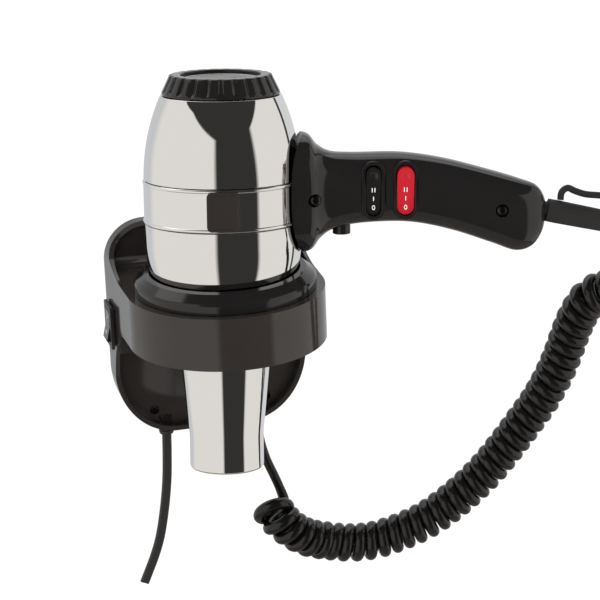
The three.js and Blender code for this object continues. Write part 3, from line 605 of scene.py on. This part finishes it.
# ---- Seat ring ----
# A separate black insert pressed into the ring: a band that stands proud of it, a bevel up to a round lip,
# and a skirt that grips the ring's bore. Its own bore is off centre, to follow the leaning barrel evenly.
t = RING_TOP
seat = moved(spun([(0, t + 11.2), (48.3, t + 11.2), (53.4, t + 7), (54.2, t + 5.6), (54.2, t + 0.3),
                   (49.5, t + 0.3), (49.5, t - 20), (0, t - 20)], 160), 0, RING_Y, 0)
seat_bore = moved(spun([(0, t + 12), (45.4, t + 12), (44.9, t + 9.8), (43.4, t - 6), (45.4, t - 21),
                        (0, t - 21)], 160),
                  0.25, RING_Y + 2.25, 0)
piece("seat_ring", joined("DIFFERENCE", seat, seat_bore), gloss_black, "holder", "gloss_black",
      ["seat_collar"], rounding=0.45, crease=15)

# ---- Power switch ----
# A snap-in rocker switch in the holder's left wall: a satin frame, a black rocker that tips about its middle,
# and the switch body behind it.


def rounded(half_x, half_z, corner, x=0.0, z=0.0):
    return [*arc(x + half_x - corner, z + half_z - corner, corner, corner, 0, 90, 10),
            *arc(x - half_x + corner, z + half_z - corner, corner, corner, 90, 180, 10),
            *arc(x - half_x + corner, z - half_z + corner, corner, corner, 180, 270, 10),
            *arc(x + half_x - corner, z - half_z + corner, corner, corner, 270, 360, 10)]


def rocker_outline(half, rise, depth, thickness):
    """A rocker seen from its edge: two flats meeting in a shallow valley, with ends round about the pivot."""
    reach, end = math.hypot(half, rise), math.degrees(math.atan2(rise, half))
    return [(half, rise), (0, rise - thickness / 4), *arc(0, 0, reach, reach, 180 - end, 196, 12),
            (-half * 0.4, -depth), (half * 0.4, -depth), *arc(0, 0, reach, reach, -16, end - 0.5, 12)]


def raised_marks(zero_at, one_at, two_at, height):
    """The switch marks 0, I and II as thin raised prints, at those places along the rocker."""
    marks = bmesh.new()
    strokes = [(one_at, 0.0)] + ([(two_at, -0.8), (two_at, 0.8)] if two_at is not None else [])
    for along, aside in strokes:
        bmesh.ops.create_cube(marks, size=1, matrix=Matrix.Translation((along, height(along), aside))
                              @ Matrix.Diagonal((2.7, 0.16, 0.5, 1)))
    ring = spun([(0.75, -0.08), (1.2, -0.08), (1.2, 0.08), (0.75, 0.08)], 28)
    ring.transform(Matrix.Translation((zero_at, height(zero_at), 0)) @ Matrix.Diagonal((1.25, 1, 0.8, 1))
                   @ Matrix.Rotation(math.radians(90), 4, "X"))
    extra = bpy.data.meshes.new("rough")
    ring.to_mesh(extra)
    marks.from_mesh(extra)
    bpy.data.meshes.remove(extra)
    return marks


white_print = moulded("white_print", (0.72, 0.72, 0.70), 0.4, 0.1, 1500.0, 0.00002)
frame_form = joined("UNION", slab(rounded(10.1, 13.6, 1.6, SWITCH_Y, SWITCH_Z), SIDEWAYS, -63.4, -61.4),
                    slab(rounded(8.1, 11.6, 0.6, SWITCH_Y, SWITCH_Z), SIDEWAYS, -61.5, -56))
frame_form = joined("DIFFERENCE", frame_form,
                    slab(rounded(6.5, 10, 0.5, SWITCH_Y, SWITCH_Z), SIDEWAYS, -70, -50))
piece("power_frame", frame_form, satin_black, "holder", "satin_black", ["power_switch_bezel"], rounding=0.35)
POWER_SET = Matrix.Translation((-62, SWITCH_Y, SWITCH_Z)) @ Matrix(
    ((0, -1, 0, 0), (0, 0, -1, 0), (1, 0, 0, 0), (0, 0, 0, 1))) @ Matrix.Rotation(math.radians(-7), 4, "Z")
power_form = slab(rocker_outline(9.2, 2.6, 4.5, 4), UPWARDS, -6.1, 6.1)
piece("power_key", power_form, gloss_black, "power_rocker", "satin_black", ["power_rocker"],
      IN_ROW @ POWER_SET, rounding=0.35)
piece("power_marks", raised_marks(-5, 5, None, lambda s: 1.6 + abs(s) / 9.2 + 0.02), white_print,
      "power_rocker", "satin_black", place=IN_ROW @ POWER_SET)

# ---- Lead glands ----
# Two short satin bushes in the holder's lower edge keep each lead from chafing where it comes out.
for name, x, hole in (("mains", -GLAND_X, rounded(3.2, 2, 1.9)), ("lead", GLAND_X, circle(3.3, 32))):
    bush = spun([(0, -1.2), (3.9, -1.2), (3.9, -4.1), (4.7, -4.1), (4.7, -5), (4.3, -6.6), (0, -6.6)], 64)
    bush = moved(joined("DIFFERENCE", bush, slab(hole, UPWARDS, -20, 20)), x, GLAND_Y, -65.2)
    piece(name + "_bush", bush, satin_black, "holder", "satin_black", [name + "_gland"], rounding=0.3,
          steps=2)

# ---- Dryer barrel ----
# Chrome-plated shells turned about the barrel's axis: a rear dome, a centre band with a rolled bead at each
# edge, and a front shell that closes down on to a long tapered nozzle. Dark joints show between them.
BAND_RADIUS, BAND_TOP, BAND_BOTTOM = 47.1, 7.8, -17.4
REAR_RADIUS, REAR_TOP, REAR_BULGE = 46.4, 57.4, 120.0
FRONT_RADIUS, FRONT_STRAIGHT, FRONT_BULGE, FRONT_BOTTOM = 46.2, -30.0, 63.0, -68.0
SKIN = 1.6
joints = {joint["name"]: joint for joint in frame["joints"]}
barrel_up = Vector(joints["fan_spin"]["axis"]).normalized()
handle_way = -Vector(joints["speed_rocker_tilt"]["axis"]).normalized()
barrel_middle = Vector(joints["fan_spin"]["pos_m"]) - barrel_up * 0.05
IN_DRYER = Matrix.Translation(barrel_middle) @ Matrix(
    (handle_way, barrel_up.cross(handle_way), barrel_up)).transposed().to_4x4() @ Matrix.Scale(MM, 4)


def dip(bulge, rise):
    return bulge - math.sqrt(bulge * bulge - rise * rise)


def shell(radius_at, low, high, steps=28):
    heights = [low + (high - low) * i / steps for i in range(steps + 1)]
    outside = [(radius_at(z), z) for z in heights]
    inside = [(radius_at(z) - SKIN, z) for z in reversed(heights)]
    return spun(outside + inside, 160)


def plated(name, colour, roughness):
    """Polished plating: very even, with a breath of haze and hairlines too fine to see one by one."""
    finish = Finish(name, colour, roughness, 1.0)
    place = finish.node("ShaderNodeTexCoord", output="Object")
    haze = finish.node("ShaderNodeTexNoise", {}, {"Vector": place, "Scale": 30.0, "Detail": 5.0})
    hair = finish.node("ShaderNodeTexNoise", {}, {"Vector": place, "Scale": 1800.0, "Detail": 2.0})
    finish.feed("Roughness", roughness + haze * 0.03 + (hair - 0.5) * 0.02)
    finish.feed("Normal", finish.node("ShaderNodeBump", {}, {
        "Strength": 0.04, "Distance": 0.0001, "Height": hair * 0.2 + haze}))
    return finish


chrome = plated("polished_chrome", (0.93, 0.93, 0.93), 0.025)
rear_form = shell(lambda z: REAR_RADIUS - dip(REAR_BULGE, z - BAND_TOP), BAND_TOP + 0.4, REAR_TOP)
piece("rear_dome", rear_form, chrome, "dryer", "chrome", ["rear_barrel_shell"], IN_DRYER, rounding=0.3,
      steps=2)
r, top, low = BAND_RADIUS, BAND_TOP, BAND_BOTTOM
band_form = spun([(r - 1.9, low), (r - 0.9, low), *arc(r - 0.9, low + 1.1, 0.9, 1.1, -90, 65, 10),
                  (r - 0.55, low + 2.6), (r - 0.5, top - 2.6),
                  *arc(r - 0.9, top - 1.1, 0.9, 1.1, -65, 90, 10), (r - 1.9, top)], 160)
band_form = joined("DIFFERENCE", band_form, rod(5, (40, 0, -5), (60, 0, -5)))
piece("centre_band_ring", band_form, chrome, "dryer", "chrome", ["centre_band"], IN_DRYER)
front_form = shell(lambda z: FRONT_RADIUS - (dip(FRONT_BULGE, FRONT_STRAIGHT - z) if z < FRONT_STRAIGHT else 0),
                   FRONT_BOTTOM, BAND_BOTTOM - 0.4)
piece("front_shell", front_form, chrome, "dryer", "chrome", ["front_barrel_shell"], IN_DRYER, rounding=0.3,
      steps=2)
top, neck, end = -68.4, -148.0, -167.5
nozzle_form = spun([(31, top), (31, top - 2), (30, top - 3), (29.3, top - 10), (22.4, neck + 3),
                    (22.2, neck), (22.2, end + 1), (21.5, end), (20.7, end), (20.7, neck), (28.5, top - 4),
                    (29.5, top)], 160)
piece("tapered_nozzle", nozzle_form, chrome, "dryer", "chrome", ["nozzle"], IN_DRYER, rounding=0.35,
      crease=20)

# ---- Badge plate ----
# A blank square plate of gloss black plastic with round corners and a thin raised rim, stuck on the band.
badge_form = joined("DIFFERENCE", slab(rounded(9.5, 11.5, 3, 0, -4.7), FORWARD, -47.4, -49.0),
                    slab(rounded(8.2, 10.2, 2.0, 0, -4.7), FORWARD, -48.6, -50))
# The badge wears the lightened housing plastic: its lighter face is a painted reflection that sets it apart
# from the dark band.
piece("blank_badge", badge_form, housing_black_painted_fill, "dryer", "gloss_black", ["badge_plate"], IN_DRYER,
      rounding=0.4, steps=3)

# ---- Intake cap ----
# A gloss black cap with 24 finger grooves turns on the rear of the barrel. It holds a steel ring and a woven
# wire filter that keep hair out of the fan.
CAP_LEVEL, CAP_HEIGHT, CAP_FOOT, CAP_HEAD, CAP_MOUTH, GROOVES = 57.8, 11.6, 34.8, 29.8, 23.6, 24
cap_line = [(CAP_FOOT - 3, CAP_LEVEL), (CAP_FOOT - 0.3, CAP_LEVEL), (CAP_FOOT, CAP_LEVEL + 0.3),
            (CAP_FOOT, CAP_LEVEL + 1.2)]
cap_line += [(CAP_FOOT + (CAP_HEAD + 0.9 - CAP_FOOT) * i / 8,
              CAP_LEVEL + 1.3 + 8.6 * i / 8) for i in range(9)]
cap_line += [*arc(CAP_HEAD - 0.9, CAP_LEVEL + CAP_HEIGHT - 1.6, 1.7, 1.6, 10, 90, 7),
             *arc(CAP_MOUTH + 1.0, CAP_LEVEL + CAP_HEIGHT - 1, 1.0, 1.0, 90, 180, 6),
             (CAP_MOUTH, CAP_LEVEL + 7), (CAP_FOOT - 3, CAP_LEVEL + 6)]
cap_form = spun(cap_line, GROOVES * 12)
for vertex in cap_form.verts:
    radius = math.hypot(vertex.co.x, vertex.co.y)
    if vertex.co.z > CAP_LEVEL + 1.25 and radius > CAP_MOUTH + 2:
        wave = math.cos(math.atan2(vertex.co.y, vertex.co.x) * GROOVES)
        rise = min(1.0, (vertex.co.z - CAP_LEVEL - 1.25) / 1.2)
        groove = 1.45 * rise * max(0.0, wave + 0.15) ** 1.5 / 1.25
        vertex.co.x *= 1 - groove / radius
        vertex.co.y *= 1 - groove / radius
piece("fluted_cap", cap_form, gloss_black, "intake_cap", "gloss_black", ["intake_cap"], IN_DRYER, crease=50)
filter_steel = moulded("woven_steel_wire", (0.36, 0.355, 0.35), 0.42, 0.15, 900.0, 0.00003, metallic=0.6)
weave = bmesh.new()
bmesh.ops.create_grid(weave, x_segments=34, y_segments=34, size=23)
outside = [f for f in weave.faces if max(math.hypot(v.co.x, v.co.y) for v in f.verts) > 23.2]
bmesh.ops.delete(weave, geom=outside, context="FACES")
bmesh.ops.wireframe(weave, faces=weave.faces[:], thickness=0.34, use_boundary=True, use_even_offset=True)
moved(weave, 0, 0, 66.3)
piece("filter_weave", weave, filter_steel, "intake_cap", "steel", ["intake_filter"], IN_DRYER)
filter_ring = spun([(21.4, 65.6), (23.1, 65.6), (23.1, 66.8), *arc(22.3, 66.6, 0.7, 0.5, 30, 150, 6),
                    (21.4, 66.4)], 96)
piece("filter_rim", filter_ring, filter_steel, "intake_cap", "steel", place=IN_DRYER)

# ---- Outlet grille ----
# A steel ring with crossed bars welded in it stops anything touching the hot coil through the nozzle.
grille_level = -72.4
grille = spun([(25.5, grille_level - 2), (27.8, grille_level - 2), (28.1, grille_level),
               (25.5, grille_level)], 64)
for turn in (0, 90):
    for aside in (-12, 0, 12):
        half = math.sqrt(26.5 ** 2 - aside ** 2)
        bar = rod(0.7, (-half, aside, grille_level - 1), (half, aside, grille_level - 1), 12)
        bar.transform(Matrix.Rotation(math.radians(turn), 4, "Z"))
        grille = joined("UNION", grille, bar)
piece("grille_bars", grille, steel, "dryer", "steel", ["outlet_grille"], IN_DRYER)

# ---- Handle ----
# Two gloss black mouldings that meet along the handle's middle. They flare into a flange cut to the barrel,
# narrow at the grip and swell to a round tail, with windows for the rockers and recesses for two screws.
HANDLE_END, HANDLE_SKIN, SQUARENESS, SEAM = 192.0, 2.4, 2 / 2.7, 0.3
TOP_LINE = [(28, 34), (50, 33.6), (56, 27), (63, 23), (75, 21.9), (105, 21.6), (129, 18), (153, 11.7),
            (176, 4.6), (186, 0.5), (190.5, -6), (HANDLE_END, -15.6)]
BELLY_LINE = [(28, -35.6), (51, -35.4), (57, -28.6), (63, -24), (73, -21), (88, -19.4), (111, -19.7),
              (135, -24.8), (159, -33), (174, -38), (183, -35.5), (189, -27.5), (HANDLE_END, -15.8)]
SIDE_LINE = [(28, 25.5), (51, 25), (57, 20.6), (66, 17.6), (88, 17), (150, 16.6), (172, 16), (182, 13.4),
             (189, 8.5), (HANDLE_END, 0.2)]
HANDLE_STATIONS = [30, 36, 42, 46, *[48 + 0.6 * i for i in range(22)], *[61.5 + 2.5 * i for i in range(44)],
                   *[171 + 1.0 * i for i in range(12)], *[183 + 0.55 * i for i in range(13)], 190.1, 190.6,
                   191.0, 191.4, 191.7]
HANDLE_AROUND = 96
ROCKERS = {"speed": (88.3, 4.2), "heat": (107.2, 5.0)}
ROCKER_Z, ROCKER_HALF = 1.0, 14.3
BEZEL_HALF_X, BEZEL_HALF_Z, BEZEL_FRONT, BEZEL_BACK = 7.1, 17.5, 16.2, 11.0
HANDLE_SCREWS = {"barrel": (53.5, -3, 20.5), "tail": (164, -12, 13.5)}
BUTTON_X, BUTTON_RADIUS, BUTTON_END = 70.2, 5.3, -26.6
RELIEF_X, RELIEF_Z, RELIEF_SLOPE, RELIEF_LENGTH = 190.0, -14.0, -12.0, 45.0


def height_along(points):
    """The height of a smooth line at any place along the handle."""
    walk = curve_through([(a, b, 0) for a, b in points], 0.4)

    def height(x):
        for p, q in zip(walk, walk[1:]):
            if q.x >= x:
                return p.y + (q.y - p.y) * (x - p.x) / max(q.x - p.x, 1e-6)
        return walk[-1].y

    return height


top_at, belly_at, side_at = height_along(TOP_LINE), height_along(BELLY_LINE), height_along(SIDE_LINE)
handle_lines = [(x, top_at(x), belly_at(x), side_at(x)) for x in HANDLE_STATIONS]


def handle_bar(inset):
    """The handle's outside, or the same shape drawn in by a wall."""

    def place(row, column):
        x, top, belly, side = handle_lines[row]
        turn = 2 * math.pi * column / HANDLE_AROUND
        cos, sin = math.cos(turn), math.sin(turn)
        wide = math.copysign(abs(cos) ** SQUARENESS, cos) * max(side - inset, 0.4)
        tall = math.copysign(abs(sin) ** SQUARENESS, sin) * max((top - belly) / 2 - inset, 0.4)
        return Vector((x - (inset if row == len(handle_lines) - 1 else 0), wide, (top + belly) / 2 + tall))

    return loft(len(handle_lines), HANDLE_AROUND, place)


def stadium(x, z, half_x, half_z):
    return [*arc(x, z + half_z - half_x, half_x, half_x, 0, 180, 28),
            *arc(x, z - half_z + half_x, half_x, half_x, 180, 360, 28)]


def relief_at(distance):
    slope = math.radians(RELIEF_SLOPE)
    return (RELIEF_X + math.cos(slope) * distance, 0, RELIEF_Z + math.sin(slope) * distance)


hollow = joined("DIFFERENCE", handle_bar(HANDLE_SKIN), block((0, -60, -60), (50.5, 60, 60)),
                *[rod(5.4, (x, -40, z), (x, 40, z)) for x, z, depth in HANDLE_SCREWS.values()])
openings = [rod(BAND_RADIUS + 0.4, (0, 0, -80), (0, 0, 80), 200)]
for x, half in ROCKERS.values():
    openings.append(slab(stadium(x, ROCKER_Z, BEZEL_HALF_X - 1, BEZEL_HALF_Z - 1), FORWARD, -5, -30))
    openings.append(slab(stadium(x, ROCKER_Z, BEZEL_HALF_X + 0.15, BEZEL_HALF_Z + 0.15), FORWARD,
                         -BEZEL_BACK + 0.3, -30))
for x, z, depth in HANDLE_SCREWS.values():
    openings += [rod(3.9, (x, -depth, z), (x, -40, z), 64), rod(1.8, (x, -30, z), (x, 8, z), 32)]
openings += [rod(5.2, relief_at(-14), relief_at(10), 64), rod(5, (40, 0, -5), (60, 0, -5)),
             rod(BUTTON_RADIUS + 0.4, (BUTTON_X, 0, -12), (BUTTON_X, 0, -40), 64)]
for name, near, far in (("front", -80, -SEAM / 2), ("back", SEAM / 2, 80)):
    half_form = joined("INTERSECT", handle_bar(0), block((0, near, -80), (300, far, 80)))
    half_form = joined("DIFFERENCE", half_form, hollow.copy(), *[opening.copy() for opening in openings])
    piece("handle_half_" + name, half_form, gloss_black, "dryer", "gloss_black", ["handle_" + name], IN_DRYER,
          crease=30, rounding=0.35, steps=2)

# ---- Handle screws ----
# Two blackened steel pan-head screws with cross slots sit in deep recesses and pull the halves together.
for where, (x, z, depth) in HANDLE_SCREWS.items():
    head = [(0, -2.4), *[(3.5 * math.sin(t), -0.9 - 1.5 * math.cos(t)) for t in (0.4, 0.7, 1.0, 1.3)],
            (3.5, -0.6), (1.5, 0), (1.5, depth + 6), (0, depth + 6)]
    slots = cross_slot(1.9, 1.8)
    for slot_form in slots:
        slot_form.transform(Matrix.Translation((0, 0, -2.6)) @ Matrix.Rotation(math.pi, 4, "X"))
    screw = joined("DIFFERENCE", spun(head, 48), *slots)
    screw.transform(Matrix.Translation((x, -depth - 0.4, z)) @ Matrix.Rotation(math.radians(-90), 4, "X")
                    @ Matrix.Rotation(math.radians(25), 4, "Z"))
    piece("handle_fixing_" + where, screw, dark_steel_and_hole_shade, "dryer", "steel", ["handle_screw_" + where],
          IN_DRYER, rounding=0.1, steps=2)

# ---- Speed and heat rockers ----
# Two three-place rockers, black for speed and red for heat, in long oval black frames pressed into the
# handle. Each key is dished, with a round finger dimple at its upper end and 0, I and II printed below it.
red_gloss = moulded("red_gloss_plastic", (0.4, 0.008, 0.016), 0.16, 0.06, 700.0, 0.00002)
for name, (x, half) in ROCKERS.items():
    frame_form = joined("DIFFERENCE", slab(stadium(x, ROCKER_Z, BEZEL_HALF_X, BEZEL_HALF_Z), FORWARD,
                                           -BEZEL_BACK, -BEZEL_FRONT),
                        slab(stadium(x, ROCKER_Z, half + 0.4, 15.2), FORWARD, -5, -30))
    piece(name + "_frame", frame_form, gloss_black, "dryer", "gloss_black", [name + "_bezel"], IN_DRYER,
          rounding=0.5)
    key = slab(rocker_outline(ROCKER_HALF, 2.4, 2.2, 3), UPWARDS, -half, half)
    oval = slab([(a, b) for b, a in stadium(0, 0, half, ROCKER_HALF + 0.2)], Matrix(
        ((1, 0, 0, 0), (0, 0, 1, 0), (0, 1, 0, 0), (0, 0, 0, 1))), -12, 12)
    key = joined("INTERSECT", key, oval)
    ball = bmesh.new()
    bmesh.ops.create_uvsphere(ball, u_segments=48, v_segments=32, radius=5.5,
                              matrix=Matrix.Translation((9.6, 7.1, 0)))
    key = joined("DIFFERENCE", key, ball)
    set_in = Matrix.Translation((x, -14, ROCKER_Z)) @ Matrix(
        ((0, 0, 1, 0), (0, -1, 0, 0), (1, 0, 0, 0), (0, 0, 0, 1))) @ Matrix.Rotation(math.radians(10), 4, "Z")
    key_finish, key_slot = (gloss_black, "gloss_black") if name == "speed" else (red_gloss, "red")
    piece(name + "_key", key, key_finish, name + "_rocker", key_slot, [name + "_rocker"], IN_DRYER @ set_in,
          rounding=0.35)
    piece(name + "_marks", raised_marks(-9.8, -4.4, 0.9, lambda s: 1.66 + 0.75 * abs(s) / 14.3), white_print,
          name + "_rocker", key_slot, place=IN_DRYER @ set_in)

# ---- Cold shot button ----
# A round gloss black button under the grip, held out by a wire spring against the switch above it.
button_form = spun([(0, BUTTON_END), (BUTTON_RADIUS - 0.8, BUTTON_END),
                    *arc(BUTTON_RADIUS - 0.8, BUTTON_END + 0.8, 0.8, 0.8, -80, 0, 6),
                    (BUTTON_RADIUS, -17.5), (BUTTON_RADIUS + 1.6, -17.5), (BUTTON_RADIUS + 1.6, -16),
                    (0, -16)], 64)
piece("cool_button", moved(button_form, BUTTON_X, 0, 0), gloss_black, "cold_shot", "gloss_black",
      ["cold_shot_button"], IN_DRYER, crease=40)
spring_line = curve_through([(BUTTON_X + 3.2 * math.cos(0.2 * math.pi * i), 3.2 * math.sin(0.2 * math.pi * i),
                              -15.1 + 6.4 * i / 40) for i in range(41)], 0.8)
spring = piece("button_spring", swept(spring_line, circle(0.45, 8), (1, 0, 0)), steel, "dryer", "steel",
               ["cold_shot_spring"], IN_DRYER)
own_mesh(spring)

# ---- Cord end of the handle ----
# A soft black rubber sleeve starts inside the handle's tail and takes the bend out of the lead, with a
# moulded rubber loop on its upper side to hang the dryer by.
rubber = moulded("soft_black_rubber", (0.013, 0.012, 0.0115), 0.6, 0.1, 1400.0, 0.00006)
sleeve = spun([(3.3, -9), (4.9, -9), (4.9, 2.2), (6.8, 2.2), (6.9, 8), (6.7, 24), (6.5, 36),
               (5.2, RELIEF_LENGTH - 1), (4.6, RELIEF_LENGTH), (3.3, RELIEF_LENGTH)], 64)
sleeve.transform(Matrix.Rotation(math.radians(90 - RELIEF_SLOPE), 4, "Y"))
moved(sleeve, RELIEF_X, 0, RELIEF_Z)
piece("rubber_sleeve", sleeve, rubber, "dryer", "satin_black", ["strain_relief"], IN_DRYER, rounding=0.4,
      crease=25)
LOOP_LINE = [(200.5, 0, -8.6), (201.3, 0, -4), (204.6, 0, -1.6), (209, 0, -3.4), (215, 0, -5.4),
             (224, 0, -6.4), (233, 0, -7.2), (238, 0, -9.6), (236.6, 0, -13.2), (230.5, 0, -14.3)]
piece("rubber_loop", swept(curve_through(LOOP_LINE, 0.8), circle(2.0, 20), (0, 1, 0)), rubber, "dryer",
      "satin_black", ["hang_loop"], IN_DRYER)

# ---- Inner works ----
# The parts that the shells hide keep their own shapes: the motor in its nylon mount with the fan, the brass
# coil on its mica cross with a thermostat, the switch bodies and the lead's clamp.


def layered(name, colour, roughness, metallic, rings):
    """A bought-in part's finish: fine lines across it from drawing or layering, and a cloudy tone."""
    finish = Finish(name, colour, roughness, metallic)
    place = finish.node("ShaderNodeTexCoord", output="Object")
    lines = finish.node("ShaderNodeTexWave", {"bands_direction": "Z"},
                        {"Vector": place, "Scale": rings, "Distortion": 3.0})
    cloud = finish.node("ShaderNodeTexNoise", {}, {"Vector": place, "Scale": 120.0, "Detail": 4.0})
    darker = tuple(0.6 * c for c in colour)
    finish.feed("Base Color", finish.node(
        "ShaderNodeMix", {"data_type": "RGBA"}, {0: cloud * 0.6 + lines * 0.2, 6: (*colour, 1),
                                                 7: (*darker, 1)}, 2))
    finish.feed("Roughness", roughness + (cloud - 0.5) * 0.15)
    finish.feed("Normal", finish.node("ShaderNodeBump", {},
                                      {"Strength": 0.3, "Distance": 0.00005, "Height": lines}))
    return finish


mica = layered("mica_board", (0.55, 0.46, 0.27), 0.6, 0.0, 600.0)
brass = layered("drawn_brass_wire", (0.62, 0.42, 0.15), 0.32, 1.0, 900.0)
pressed_steel = layered("pressed_steel", (0.48, 0.48, 0.49), 0.34, 1.0, 400.0)
INNER_FINISHES = {
    "motor": pressed_steel, "motor_shaft": pressed_steel, "thermostat": pressed_steel,
    "motor_mount": nylon, "fan": nylon, "lead_clamp": nylon, "heater_frame": mica, "heater_coil": brass,
    "power_switch_body": satin_black, "speed_switch": satin_black, "heat_switch": satin_black,
    "cold_shot_switch": satin_black,
}
for node_name, finish in INNER_FINISHES.items():
    node_mesh = frame["nodes"][node_name].data
    node_mesh.materials.clear()
    node_mesh.materials.append(finish.material)
